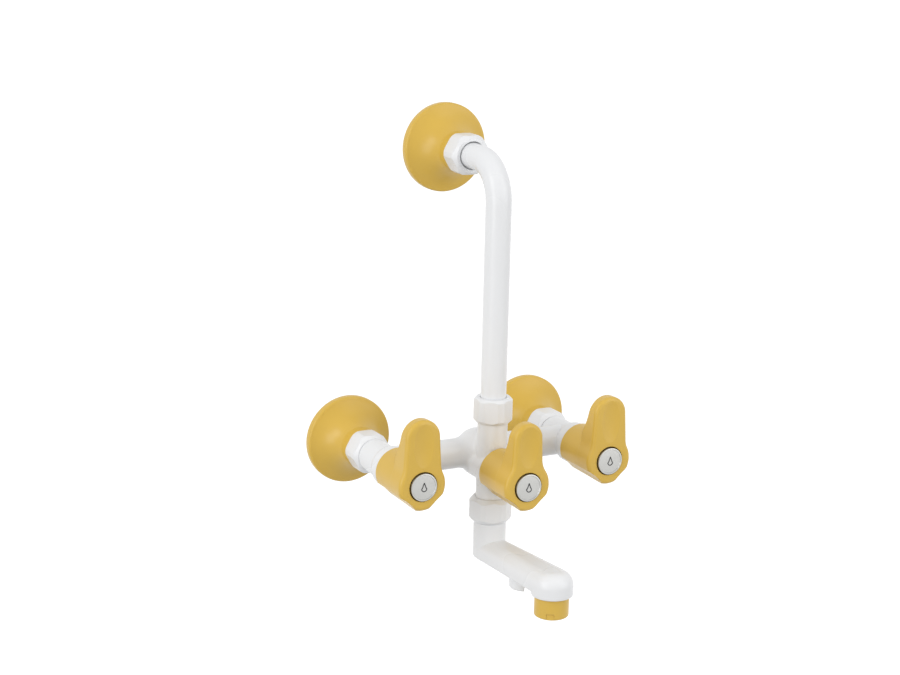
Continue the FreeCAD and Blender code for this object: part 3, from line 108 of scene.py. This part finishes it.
class Sheet:
    """A node tree under construction."""

    def __init__(self, tree: bpy.types.NodeTree) -> None:
        """Starts from an empty tree.

        Args:
            tree: The material's, the world's or the group's node tree.
        """
        self.tree = tree
        tree.nodes.clear()

    def feed(self, socket: bpy.types.NodeSocket, value: object) -> None:
        """Gives an input socket what it needs.

        Args:
            socket: The input socket.
            value: The socket to link to it, its value, or a colour without its alpha.
        """
        if isinstance(value, bpy.types.NodeSocket):
            self.tree.links.new(value, socket)
        elif isinstance(value, tuple):
            socket.default_value = (*value, 1.0)
        else:
            socket.default_value = value

    def add(self, kind: str, settings: dict | None = None, **inputs: object) -> bpy.types.Node:
        """Adds a node.

        Args:
            kind: The node's class name, without its ShaderNode prefix.
            settings: Properties of the node itself.
            **inputs: What its sockets are fed, with _ in a name for a space.

        Returns:
            The new node.
        """
        name = kind if kind.startswith("NodeGroup") else f"ShaderNode{kind}"
        node = self.tree.nodes.new(name)
        for key, value in (settings or {}).items():
            setattr(node, key, value)
        for key, value in inputs.items():
            self.feed(node.inputs[key.replace("_", " ")], value)
        return node

    def math(self, operation: str, *values: object) -> bpy.types.NodeSocket:
        """Adds a Math node.

        Args:
            operation: Blender's name of the operation.
            *values: Numbers or sockets.

        Returns:
            The node's output.
        """
        node = self.add("Math", {"operation": operation})
        for socket, value in zip(node.inputs, values):
            self.feed(socket, value)
        return node.outputs["Value"]

    def remap(self, value: bpy.types.NodeSocket, low: object, high: object) -> bpy.types.NodeSocket:
        """Stretches a mask from 0..1 to low..high.

        Args:
            value: The mask.
            low: The result where the mask is 0.
            high: The result where the mask is 1.

        Returns:
            The stretched value.
        """
        node = self.add("MapRange", Value=value, To_Min=low, To_Max=high)
        return node.outputs["Result"]

    def mix(self, mask: object, first: object, second: object) -> bpy.types.NodeSocket:
        """Mixes two colours.

        Args:
            mask: 0 gives the first colour and 1 the second.
            first: A colour or a socket.
            second: A colour or a socket.

        Returns:
            The mixed colour.
        """
        node = self.add("MixRGB")
        for socket, value in zip(node.inputs, (mask, first, second)):
            self.feed(socket, value)
        return node.outputs["Color"]

    def seen(self) -> bpy.types.NodeSocket:
        """Adds a mask of the rays that show a thing, straight, mirrored or through another.

        Returns:
            The mask, 0 for the rays that only carry light.
        """
        path = self.add("LightPath")
        mask = path.outputs["Is Camera Ray"]
        for ray in ("Is Glossy Ray", "Is Transmission Ray"):
            mask = self.math("MAXIMUM", mask, path.outputs[ray])
        return mask


def new_material(name: str) -> tuple[bpy.types.Material, Sheet]:
    """Makes a material without nodes.

    Args:
        name: Its name.

    Returns:
        The material and the sheet of its node tree.
    """
    material = bpy.data.materials.new(name)
    material.use_nodes = True
    return material, Sheet(material.node_tree)


class SocketKind(Enum):
    """The kinds of socket that the effect groups use."""

    VALUE = "NodeSocketFloat"
    VECTOR = "NodeSocketVector"
    COLOUR = "NodeSocketColor"


class Effects:
    """The shader node groups that several finishes share, each built once."""

    FLOW_DETAIL = 2.0
    FLOW_DISTORTION = 0.5
    CLOUD_LOW = 0.2
    CLOUD_HIGH = 0.8
    PEEL_DETAIL = 2.0
    EDGE_SAMPLES = 6
    RING_DETAIL = 2.0
    RING_DETAIL_SCALE = 3.0
    RING_DISTORTION = 1.5
    BAND_DETAIL = 1.0
    BAND_DISTORTION = 0.8
    TARNISH_SCALE = 220.0
    TARNISH_DETAIL = 5.0
    TARNISH_DISTORTION = 0.6

    def __init__(self) -> None:
        """Builds every group."""
        self.skin = self._skin()
        self.turning = self._turning()

    @staticmethod
    def _new(
        name: str, inputs: dict[str, SocketKind], outputs: dict[str, SocketKind]
    ) -> tuple[Sheet, bpy.types.Node, bpy.types.Node]:
        """Makes an empty group with its sockets.

        Args:
            name: The group's name.
            inputs: Its inputs and their kinds.
            outputs: Its outputs and their kinds.

        Returns:
            The group's sheet, and its input and output nodes.
        """
        group = bpy.data.node_groups.new(name, "ShaderNodeTree")
        for way, sockets in (("INPUT", inputs), ("OUTPUT", outputs)):
            for label, kind in sockets.items():
                group.interface.new_socket(label, in_out=way, socket_type=kind.value)
        sheet = Sheet(group)
        return sheet, sheet.add("NodeGroupInput"), sheet.add("NodeGroupOutput")

    def _skin(self) -> bpy.types.NodeTree:
        """The skin of a moulding: cloudy flow marks, fine orange peel and softened edges.

        Returns:
            The group.
        """
        sheet, given, result = self._new(
            "moulded_skin",
            {
                "Vector": SocketKind.VECTOR,
                "Colour": SocketKind.COLOUR,
                "Flow Colour": SocketKind.COLOUR,
                "Smooth": SocketKind.VALUE,
                "Rough": SocketKind.VALUE,
                "Flow Scale": SocketKind.VALUE,
                "Peel Scale": SocketKind.VALUE,
                "Edge Radius": SocketKind.VALUE,
            },
            {
                "Colour": SocketKind.COLOUR,
                "Roughness": SocketKind.VALUE,
                "Height": SocketKind.VALUE,
                "Normal": SocketKind.VECTOR,
            },
        )
        flow = sheet.add(
            "TexNoise",
            Vector=given.outputs["Vector"],
            Scale=given.outputs["Flow Scale"],
            Detail=self.FLOW_DETAIL,
            Distortion=self.FLOW_DISTORTION,
        )
        cloud = sheet.add(
            "MapRange",
            {"interpolation_type": "SMOOTHSTEP"},
            Value=flow.outputs["Fac"],
            From_Min=self.CLOUD_LOW,
            From_Max=self.CLOUD_HIGH,
        )
        peel = sheet.add(
            "TexNoise",
            Vector=given.outputs["Vector"],
            Scale=given.outputs["Peel Scale"],
            Detail=self.PEEL_DETAIL,
        )
        edges = sheet.add(
            "Bevel", {"samples": self.EDGE_SAMPLES}, Radius=given.outputs["Edge Radius"]
        )
        mask = cloud.outputs["Result"]
        colour = sheet.mix(mask, given.outputs["Colour"], given.outputs["Flow Colour"])
        roughness = sheet.remap(mask, given.outputs["Smooth"], given.outputs["Rough"])
        sheet.feed(result.inputs["Colour"], colour)
        sheet.feed(result.inputs["Roughness"], roughness)
        sheet.feed(result.inputs["Height"], peel.outputs["Fac"])
        sheet.feed(result.inputs["Normal"], edges.outputs["Normal"])
        return sheet.tree

    def _turning(self) -> bpy.types.NodeTree:
        """Fine grooves left by turning or brushing round the Y direction.

        Returns:
            The group.
        """
        sheet, given, result = self._new(
            "turning_marks",
            {"Vector": SocketKind.VECTOR, "Pitch Scale": SocketKind.VALUE},
            {"Mask": SocketKind.VALUE, "Height": SocketKind.VALUE},
        )
        around = sheet.add(
            "TexWave",
            {"wave_type": "RINGS", "rings_direction": "Y"},
            Vector=given.outputs["Vector"],
            Scale=given.outputs["Pitch Scale"],
            Distortion=self.RING_DISTORTION,
            Detail=self.RING_DETAIL,
            Detail_Scale=self.RING_DETAIL_SCALE,
        )
        along = sheet.add(
            "TexWave",
            {"wave_type": "BANDS", "bands_direction": "Y"},
            Vector=given.outputs["Vector"],
            Scale=given.outputs["Pitch Scale"],
            Distortion=self.BAND_DISTORTION,
            Detail=self.BAND_DETAIL,
        )
        tarnish = sheet.add(
            "TexNoise",
            Vector=given.outputs["Vector"],
            Scale=self.TARNISH_SCALE,
            Detail=self.TARNISH_DETAIL,
            Distortion=self.TARNISH_DISTORTION,
        )
        grooves = sheet.math("MULTIPLY", around.outputs["Fac"], along.outputs["Fac"])
        sheet.feed(result.inputs["Mask"], tarnish.outputs["Fac"])
        sheet.feed(result.inputs["Height"], grooves)
        return sheet.tree


@dataclass(frozen=True)
class MouldedPlastic:
    """A moulded plastic or rubber."""

    name: str
    colour: RGB
    flow_colour: RGB
    smooth: float
    rough: float
    flow_scale: float = 32.0
    peel_scale: float = 1100.0
    peel_height: float = 0.000008
    edge_radius: float = 0.0007
    ior: float = 1.47

    def material(self, effects: Effects) -> bpy.types.Material:
        """Builds the finish.

        Args:
            effects: The shared node groups.

        Returns:
            The material.
        """
        material, sheet = new_material(self.name)
        place = sheet.add("TexCoord")
        skin = sheet.add(
            "Group",
            {"node_tree": effects.skin},
            Vector=place.outputs["Object"],
            Colour=self.colour,
            Flow_Colour=self.flow_colour,
            Smooth=self.smooth,
            Rough=self.rough,
            Flow_Scale=self.flow_scale,
            Peel_Scale=self.peel_scale,
            Edge_Radius=self.edge_radius,
        )
        bump = sheet.add(
            "Bump",
            Strength=1.0,
            Distance=self.peel_height,
            Height=skin.outputs["Height"],
            Normal=skin.outputs["Normal"],
        )
        shader = sheet.add(
            "BsdfPrincipled",
            Base_Color=skin.outputs["Colour"],
            Roughness=skin.outputs["Roughness"],
            Normal=bump.outputs["Normal"],
            IOR=self.ior,
        )
        sheet.add("OutputMaterial", Surface=shader.outputs["BSDF"])
        return material


@dataclass(frozen=True)
class TurnedMetal:
    """A metal with turning or brushing marks, centred on a piece."""

    name: str
    colour: RGB
    tarnish: RGB
    smooth: float
    rough: float
    pitch_scale: float = 420.0
    groove: float = 0.00001

    def material(self, effects: Effects, centre: Vector | None = None) -> bpy.types.Material:
        """Builds the finish.

        Args:
            effects: The shared node groups.
            centre: The middle of the marks, or None where they needn't be centred.

        Returns:
            The material.
        """
        material, sheet = new_material(self.name)
        place = sheet.add("TexCoord")
        mapping = sheet.add("Mapping", Vector=place.outputs["Object"])
        if centre is not None:
            sheet.feed(mapping.inputs["Location"], -centre)
        marks = sheet.add(
            "Group",
            {"node_tree": effects.turning},
            Vector=mapping.outputs["Vector"],
            Pitch_Scale=self.pitch_scale,
        )
        mask = marks.outputs["Mask"]
        bump = sheet.add("Bump", Strength=1.0, Distance=self.groove, Height=marks.outputs["Height"])
        shader = sheet.add(
            "BsdfPrincipled",
            Base_Color=sheet.mix(mask, self.colour, self.tarnish),
            Roughness=sheet.remap(mask, self.smooth, self.rough),
            Normal=bump.outputs["Normal"],
            Metallic=1.0,
        )
        sheet.add("OutputMaterial", Surface=shader.outputs["BSDF"])
        return material


WHITE = MouldedPlastic(
    "white_plastic",
    (0.845, 0.853, 0.866),
    (0.835, 0.843, 0.856),
    smooth=0.26,
    rough=0.31,
    flow_scale=14.0,
)
THREAD_WHITE = replace(WHITE, name="thread_white", edge_radius=0.00006)
GOLD = MouldedPlastic(
    "gold_plastic",
    (0.717, 0.467, 0.077),
    (0.687, 0.444, 0.066),
    smooth=0.29,
    rough=0.36,
    flow_scale=22.0,
)
GREY = MouldedPlastic(
    "grey_plastic", (0.36, 0.37, 0.38), (0.31, 0.32, 0.33), smooth=0.42, rough=0.55
)
RUBBER = MouldedPlastic(
    "black_rubber",
    (0.022, 0.022, 0.024),
    (0.035, 0.034, 0.034),
    smooth=0.6,
    rough=0.8,
    peel_scale=1800.0,
    peel_height=0.00002,
    edge_radius=0.0002,
)
DARK_MARK = MouldedPlastic(
    "dark_mark",
    (0.05, 0.052, 0.055),
    (0.07, 0.07, 0.072),
    smooth=0.35,
    rough=0.5,
    edge_radius=0.0001,
)
BRASS = TurnedMetal("brass", (0.70, 0.50, 0.20), (0.52, 0.35, 0.14), smooth=0.25, rough=0.42)
STEEL = TurnedMetal("steel", (0.60, 0.60, 0.59), (0.48, 0.48, 0.48), smooth=0.22, rough=0.38)
SILVER = TurnedMetal(
    "silver_cap",
    (0.49, 0.49, 0.475),
    (0.42, 0.42, 0.405),
    smooth=0.30,
    rough=0.42,
    pitch_scale=700.0,
    groove=0.000006,
)
# A darker metal on the side of each cap's outer edge: painted shade and dark reflection of the gap
# round the cap, not a duller metal.
PAINTED_SHADE_EDGE = TurnedMetal("painted_shade_edge", (0.42, 0.41, 0.39), (0.30, 0.29, 0.28), smooth=0.3, rough=0.45)


def settle(piece: bpy.types.Object, name: str) -> bpy.types.Object:
    """Ends a piece: its faces outwards, its place in its mesh, smooth but for its sharp edges.

    Args:
        piece: The piece, in edit mode.
        name: Its name.

    Returns:
        The piece, at the origin and in object mode.
    """
    bpy.ops.mesh.select_all(action="SELECT")
    bpy.ops.mesh.normals_make_consistent(inside=False)
    bpy.ops.object.mode_set(mode="OBJECT")
    bpy.ops.object.select_all(action="DESELECT")
    piece.select_set(True)
    bpy.context.view_layer.objects.active = piece
    bpy.ops.object.transform_apply(location=True, rotation=True, scale=True)
    bpy.ops.object.shade_smooth_by_angle(angle=SHARP_ANGLE)
    piece.name = name
    piece.data.name = name
    return piece


def start_ring(centre: Vector, radius: float, vertices: int, filled: bool) -> bpy.types.Object:
    """Adds a circle that faces the user and enters edit mode with all of it selected.

    Args:
        centre: Its centre.
        radius: Its radius.
        vertices: How many corners it has.
        filled: Whether it has a face.

    Returns:
        The new object.
    """
    bpy.ops.object.select_all(action="DESELECT")
    bpy.ops.mesh.primitive_circle_add(
        vertices=vertices,
        radius=radius,
        fill_type="NGON" if filled else "NOTHING",
        location=centre,
        rotation=(math.pi / 2, 0.0, 0.0),
    )
    piece = bpy.context.object
    bpy.ops.object.mode_set(mode="EDIT")
    bpy.ops.mesh.select_all(action="SELECT")
    return piece


def lathe(centre: Vector, steps: Sequence[tuple[float, float]]) -> bpy.types.Object:
    """Turns a closed profile about an axis along Y, ring by ring.

    Args:
        centre: A point on the axis; its Y isn't used.
        steps: Radius and Y of each ring; the last is joined to the first.

    Returns:
        The closed piece, in edit mode.
    """
    radius, depth = steps[0]
    place = Vector((centre.x, depth, centre.z))
    piece = start_ring(place, radius, CIRCLE_VERTICES, filled=False)
    for next_radius, next_depth in [*steps[1:], steps[0]]:
        bpy.ops.mesh.extrude_edges_move(
            TRANSFORM_OT_translate={"value": (0.0, next_depth - depth, 0.0)}
        )
        ratio = next_radius / radius
        bpy.ops.transform.resize(
            value=(ratio, 1.0, ratio), center_override=(centre.x, next_depth, centre.z)
        )
        radius, depth = next_radius, next_depth
    bpy.ops.mesh.select_all(action="SELECT")
    bpy.ops.mesh.remove_doubles(threshold=MERGE_DISTANCE)
    return piece


@dataclass
class WallLeg:
    """A threaded leg, screwed into its socket in the wall."""

    connection: Connection
    core_radius: float = 0.00932
    thread_radius: float = 0.01048
    pitch: float = 0.001814
    chamfer: float = 0.0011
    shank_radius: float = 0.0112
    groove_length: float = 0.0012
    bore_radius: float = 0.0075
    front_radius: float = 0.0116
    front_turns: float = 8.0
    ridge_corners: int = 4
    # Half the ridge's width, as a share of the pitch.
    ridge_share: float = 0.46
    turn_steps: int = 72

    def build(self, white: bpy.types.Material) -> list[bpy.types.Object]:
        """Builds the leg's core and its thread.

        Args:
            white: The plastic's material.

        Returns:
            The two pieces.
        """
        node = f"{self.connection.value}_wall_leg"
        low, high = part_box(node)
        axis = (low + high) / 2.0
        core = self._core(axis, low.y, high.y)
        thread = self._thread(axis, high.y)
        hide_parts(node)
        for piece in (core, thread):
            piece.data.materials.append(white)
            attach(piece, "fixed_body")
        return [core, thread]

    def _core(self, axis: Vector, front: float, rear: float) -> bpy.types.Object:
        """The leg itself, with a plain relief where the wall thread ends.

        Args:
            axis: A point on the leg's axis.
            front: The Y of its front end.
            rear: The Y of its rear end.

        Returns:
            The piece.
        """
        edge = self.chamfer / 2.0
        step = front + self.pitch * self.front_turns
        piece = lathe(
            axis,
            [
                (self.bore_radius, rear - edge),
                (self.bore_radius + edge, rear),
                (self.core_radius - edge, rear),
                (self.core_radius, rear - edge),
                (self.core_radius, self.groove_length),
                (self.core_radius, self.groove_length / 2.0),
                (self.shank_radius - edge, self.groove_length / 2.0 - edge),
                (self.shank_radius, -edge),
                (self.shank_radius, step),
                (self.front_radius, step),
                (self.front_radius, front + edge),
                (self.front_radius - edge, front),
                (self.bore_radius + edge, front),
                (self.bore_radius, front + edge),
            ],
        )
        return settle(piece, f"{self.connection.value}_leg_core")

    def _thread(self, axis: Vector, rear: float) -> bpy.types.Object:
        """The helical ridge of the wall thread.

        Args:
            axis: A point on the leg's axis.
            rear: The Y of the leg's rear end.

        Returns:
            The piece.
        """
        start = self.groove_length + self.pitch / 2.0
        middle = Vector((axis.x, start, axis.z))
        ridge = (self.thread_radius - self.core_radius, self.pitch * self.ridge_share, 1.0)
        piece = start_ring(middle, 1.0, self.ridge_corners, filled=False)
        bpy.ops.transform.rotate(value=math.pi / 2.0, orient_axis="X", center_override=middle)
        bpy.ops.transform.resize(value=ridge, center_override=middle)
        bpy.ops.transform.translate(value=(self.core_radius, 0.0, 0.0))
        bpy.ops.object.mode_set(mode="OBJECT")
        bpy.ops.object.transform_apply(location=False, rotation=True, scale=True)
        screw = piece.modifiers.new("helix", "SCREW")
        screw.axis = "Y"
        screw.screw_offset = self.pitch
        screw.iterations = int((rear - self.chamfer - start) / self.pitch)
        screw.steps = self.turn_steps
        screw.render_steps = self.turn_steps
        bpy.ops.object.modifier_apply(modifier=screw.name)
        bpy.ops.object.mode_set(mode="EDIT")
        bpy.ops.mesh.select_all(action="DESELECT")
        bpy.ops.mesh.select_mode(type="EDGE")
        bpy.ops.mesh.select_non_manifold()
        bpy.ops.mesh.fill_holes(sides=self.ridge_corners)
        return settle(piece, f"{self.connection.value}_leg_thread")


@dataclass
class HandleCap:
    """The cap that hides a handle's screw: a turned disc with a raised rim and a drop mark."""

    control: Control
    disc_radius: float = 0.0099
    edge: float = 0.00035
    # Width and rise of the outer edge's steps, and width of the inner edge, as shares of edge.
    edge_steps: tuple[tuple[float, float], ...] = ((0.3, 0.7), (0.7, 0.3))
    inner_share: float = 0.5
    # A face that looks further to the front than this belongs to the disc's front.
    front_normal: float = -0.5
    rim_width: float = 0.00075
    rim_step: float = 0.0003
    dome_rings: int = 6
    dome_height: float = 0.00035
    mark_radius: float = 0.0023
    mark_line: float = 0.0007
    mark_thickness: float = 0.00024
    mark_vertices: int = 48
    # Where the mark's back lies, as a share of the dome's height.
    mark_level: float = 0.3
    # How far the mark's round end is below the middle, in its radii.
    mark_offset: float = 0.4
    # How much each step towards the tip narrows the mark and draws it upwards.
    mark_steps: int = 6
    mark_taper: float = 0.84
    mark_rise: float = 0.16

    @property
    def body(self) -> str:
        """The body that the cap rides on."""
        return f"{self.control.value}_control"

    def build(self, effects: Effects, mark: bpy.types.Material) -> list[bpy.types.Object]:
        """Builds the cap and its mark.

        Args:
            effects: The shared node groups.
            mark: The mark's material.

        Returns:
            The two pieces.
        """
        node = f"{self.control.value}_handle_cap"
        low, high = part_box(node)
        middle = (low + high) / 2.0
        disc = self._disc(middle, low.y, high.y)
        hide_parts(node)
        drop = self._drop(Vector((middle.x, low.y, middle.z)))
        disc.data.materials.append(SILVER.material(effects, middle))
        disc.data.materials.append(PAINTED_SHADE_EDGE.material(effects, middle))
        # The outer edge's side faces take the darker metal, which paints the shade and dark
        # reflection of the gap round the cap.
        for face in disc.data.polygons:
            radial = Vector((face.center.x - middle.x, 0.0, face.center.z - middle.z)).length
            outer = radial > self.disc_radius - self.edge
            face.material_index = int(outer and face.normal.y > self.front_normal)
        drop.data.materials.append(mark)
        for piece in (disc, drop):
            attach(piece, self.body)
        return [disc, drop]

    def _disc(self, middle: Vector, front: float, rear: float) -> bpy.types.Object:
        """The cap's disc: its outer edge, its flat rim, the step behind the rim and the dome.

        Args:
            middle: A point on its axis.
            front: The Y of its front.
            rear: The Y of its rear.

        Returns:
            The piece.
        """
        place = Vector((middle.x, rear, middle.z))
        piece = start_ring(place, self.disc_radius, CIRCLE_VERTICES, filled=True)
        depth = rear - front - self.edge
        bpy.ops.mesh.extrude_region_move(TRANSFORM_OT_translate={"value": (0.0, -depth, 0.0)})
        insets = [(self.edge * width, self.edge * rise) for width, rise in self.edge_steps]
        insets.append((self.rim_width, 0.0))
        insets.append((self.edge * self.inner_share, -self.rim_step))
        inner = self.disc_radius - self.edge * (1.0 + self.inner_share) - self.rim_width
        ring_width = inner / (self.dome_rings + 1)
        for ring in range(self.dome_rings):
            share = 1.0 - ring / self.dome_rings
            insets.append((ring_width, self.dome_height * share / self.dome_rings))
        for width, rise in insets:
            bpy.ops.mesh.inset(thickness=width, depth=rise, use_boundary=True)
        return settle(piece, f"{self.control.value}_cap_disc")

    def _drop(self, place: Vector) -> bpy.types.Object:
        """A raised drop, the common sign for water.

        Args:
            place: The middle of the cap's front.

        Returns:
            The piece.
        """
        level = place.y + self.rim_step - self.dome_height * self.mark_level
        low = Vector((place.x, level, place.z - self.mark_radius * self.mark_offset))
        piece = start_ring(low, self.mark_radius, self.mark_vertices, filled=True)
        mesh = piece.data
        for step in range(self.mark_steps):
            line = (step + 0.5) / self.mark_steps
            bpy.ops.mesh.select_all(action="DESELECT")
            bpy.ops.object.mode_set(mode="OBJECT")
            top = max(vertex.co.y for vertex in mesh.vertices)
            for vertex in mesh.vertices:
                vertex.select = vertex.co.y > top * line
            bpy.ops.object.mode_set(mode="EDIT")
            bpy.ops.transform.resize(value=(self.mark_taper, 1.0, 1.0), center_override=low)
            bpy.ops.transform.translate(value=(0.0, 0.0, self.mark_radius * self.mark_rise))
        bpy.ops.mesh.select_all(action="SELECT")
        bpy.ops.mesh.inset(thickness=self.mark_line, depth=0.0, use_boundary=True)
        bpy.ops.mesh.delete(type="ONLY_FACE")
        bpy.ops.mesh.select_all(action="SELECT")
        bpy.ops.mesh.extrude_region_move(
            TRANSFORM_OT_translate={"value": (0.0, -self.mark_thickness, 0.0)}
        )
        return settle(piece, f"{self.control.value}_cap_drop")


@dataclass
class Mixer:
    """The whole mixer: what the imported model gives, dressed, and what is modelled here."""

    frame: dict

    def dress(self, effects: Effects) -> None:
        """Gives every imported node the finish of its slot.

        Args:
            effects: The shared node groups.
        """
        finishes = {
            Slot.WHITE_PLASTIC: WHITE,
            Slot.GOLD_PLASTIC: GOLD,
            Slot.SILVER_CAP: SILVER,
            Slot.BLACK_RUBBER: RUBBER,
            Slot.BRASS: BRASS,
            Slot.STEEL: STEEL,
            Slot.GREY_PLASTIC: GREY,
        }
        materials = {slot: finish.material(effects) for slot, finish in finishes.items()}
        for part in self.frame["record"]["subparts"]:
            node = self.frame["nodes"][part["node"]]
            node.data.materials.clear()
            node.data.materials.append(materials[Slot(part["material_slot"])])
        LOG.info("dressed %d nodes", len(self.frame["nodes"]))

    def detail(self, effects: Effects) -> None:
        """Builds the pieces that are modelled here.

        Args:
            effects: The shared node groups.
        """
        mark = DARK_MARK.material(effects)
        thread = THREAD_WHITE.material(effects)
        made: list[bpy.types.Object] = []
        for connection in Connection:
            made += WallLeg(connection).build(thread)
        for control in Control:
            made += HandleCap(control).build(effects, mark)
        for piece in made:
            LOG.info("%s: %d faces", piece.name, len(piece.data.polygons))


@dataclass
class Lamp:
    """A soft square lamp."""

    name: str
    place: Vector
    size: float
    power: float

    def build(self, aim: Vector) -> None:
        """Adds the lamp.

        Args:
            aim: The point that it shines at.
        """
        data = bpy.data.lights.new(self.name, "AREA")
        data.size = self.size
        data.energy = self.power
        lamp = bpy.data.objects.new(self.name, data)
        bpy.context.scene.collection.objects.link(lamp)
        lamp.location = self.place
        lamp.rotation_euler = (aim - self.place).to_track_quat("-Z", "Y").to_euler()


LAMPS = (
    Lamp("key", Vector((-1.8, -0.45, 1.0)), size=0.9, power=8.0),
    Lamp("fill", Vector((1.2, -1.7, 0.5)), size=1.4, power=9.5),
    Lamp("left_low", Vector((-1.9, -0.8, 0.05)), size=1.0, power=9.0),
    Lamp("right_high", Vector((0.9, -1.3, 1.5)), size=1.0, power=3.0),
)


@dataclass
class Studio:
    """The floor, the light and the camera."""

    world_colour: RGB = (1.0, 1.0, 1.0)
    world_light: float = 0.74
    floor_height: float = -0.30
    floor_size: float = 60.0
    floor_colour: RGB = (0.45, 0.45, 0.45)
    floor_glow: float = 0.80
    camera_azimuth: float = -27.65
    camera_elevation: float = 13.96
    camera_roll: float = 1.29
    camera_distance: float = 1.42302
    camera_focus: float = 1965.48
    image_width: float = 900.0
    sensor_width: float = 36.0
    aim: Vector = Vector((-0.01669, -0.05, 0.08269))
    middle: Vector = Vector((0.0, -0.08, 0.08))

    def build(self) -> None:
        """Sets everything up."""
        bpy.context.scene.view_settings.view_transform = "Standard"
        self._world()
        self._floor()
        for lamp in LAMPS:
            lamp.build(self.middle)
        self._camera()

    def _world(self) -> None:
        """A white surrounding, which lights the object less than it shows."""
        world = bpy.data.worlds.new("studio")
        world.use_nodes = True
        bpy.context.scene.world = world
        sheet = Sheet(world.node_tree)
        strength = sheet.remap(sheet.seen(), self.world_light, 1.0)
        light = sheet.add("Background", Color=self.world_colour, Strength=strength)
        sheet.add("OutputWorld", Surface=light.outputs["Background"])

    def _floor(self) -> None:
        """A plain pale floor, white to the camera from above and clear from below."""
        bpy.ops.object.select_all(action="DESELECT")
        bpy.ops.mesh.primitive_plane_add(
            size=self.floor_size, location=(0.0, 0.0, self.floor_height)
        )
        floor = bpy.context.object
        floor.name = "floor"
        material, sheet = new_material("pale_floor")
        matt = sheet.add("BsdfDiffuse", Color=self.floor_colour)
        glow = sheet.add("Emission", Strength=sheet.remap(sheet.seen(), 0.0, self.floor_glow))
        both = sheet.add("AddShader")
        sheet.feed(both.inputs[0], matt.outputs["BSDF"])
        sheet.feed(both.inputs[1], glow.outputs["Emission"])
        side = sheet.add("NewGeometry")
        clear = sheet.add("BsdfTransparent")
        seen_from = sheet.add("MixShader", Fac=side.outputs["Backfacing"])
        sheet.feed(seen_from.inputs[1], both.outputs["Shader"])
        sheet.feed(seen_from.inputs[2], clear.outputs["BSDF"])
        sheet.add("OutputMaterial", Surface=seen_from.outputs["Shader"])
        floor.data.materials.append(material)

    def _camera(self) -> None:
        """The camera, at the photograph's angle."""
        azimuth = math.radians(self.camera_azimuth)
        elevation = math.radians(self.camera_elevation)
        roll = math.radians(self.camera_roll)
        back = Vector(
            (
                math.sin(azimuth) * math.cos(elevation),
                -math.cos(azimuth) * math.cos(elevation),
                math.sin(elevation),
            )
        )
        level = Vector((math.cos(azimuth), math.sin(azimuth), 0.0))
        upright = back.cross(level)
        right = level * math.cos(roll) + upright * math.sin(roll)
        up = upright * math.cos(roll) - level * math.sin(roll)
        data = bpy.data.cameras.new("camera")
        data.sensor_width = self.sensor_width
        data.lens = self.camera_focus / self.image_width * self.sensor_width
        camera = bpy.data.objects.new("camera", data)
        bpy.context.scene.collection.objects.link(camera)
        turned = Matrix((right, up, back)).transposed().to_4x4()
        camera.matrix_world = Matrix.Translation(self.aim + back * self.camera_distance) @ turned
        bpy.context.scene.camera = camera


def main() -> None:
    """Builds the scene."""
    logging.basicConfig(level=logging.INFO, format="%(name)s: %(message)s")
    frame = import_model()
    effects = Effects()
    mixer = Mixer(frame)
    mixer.dress(effects)
    mixer.detail(effects)
    Studio().build()


if __name__ == "__main__":
    main()
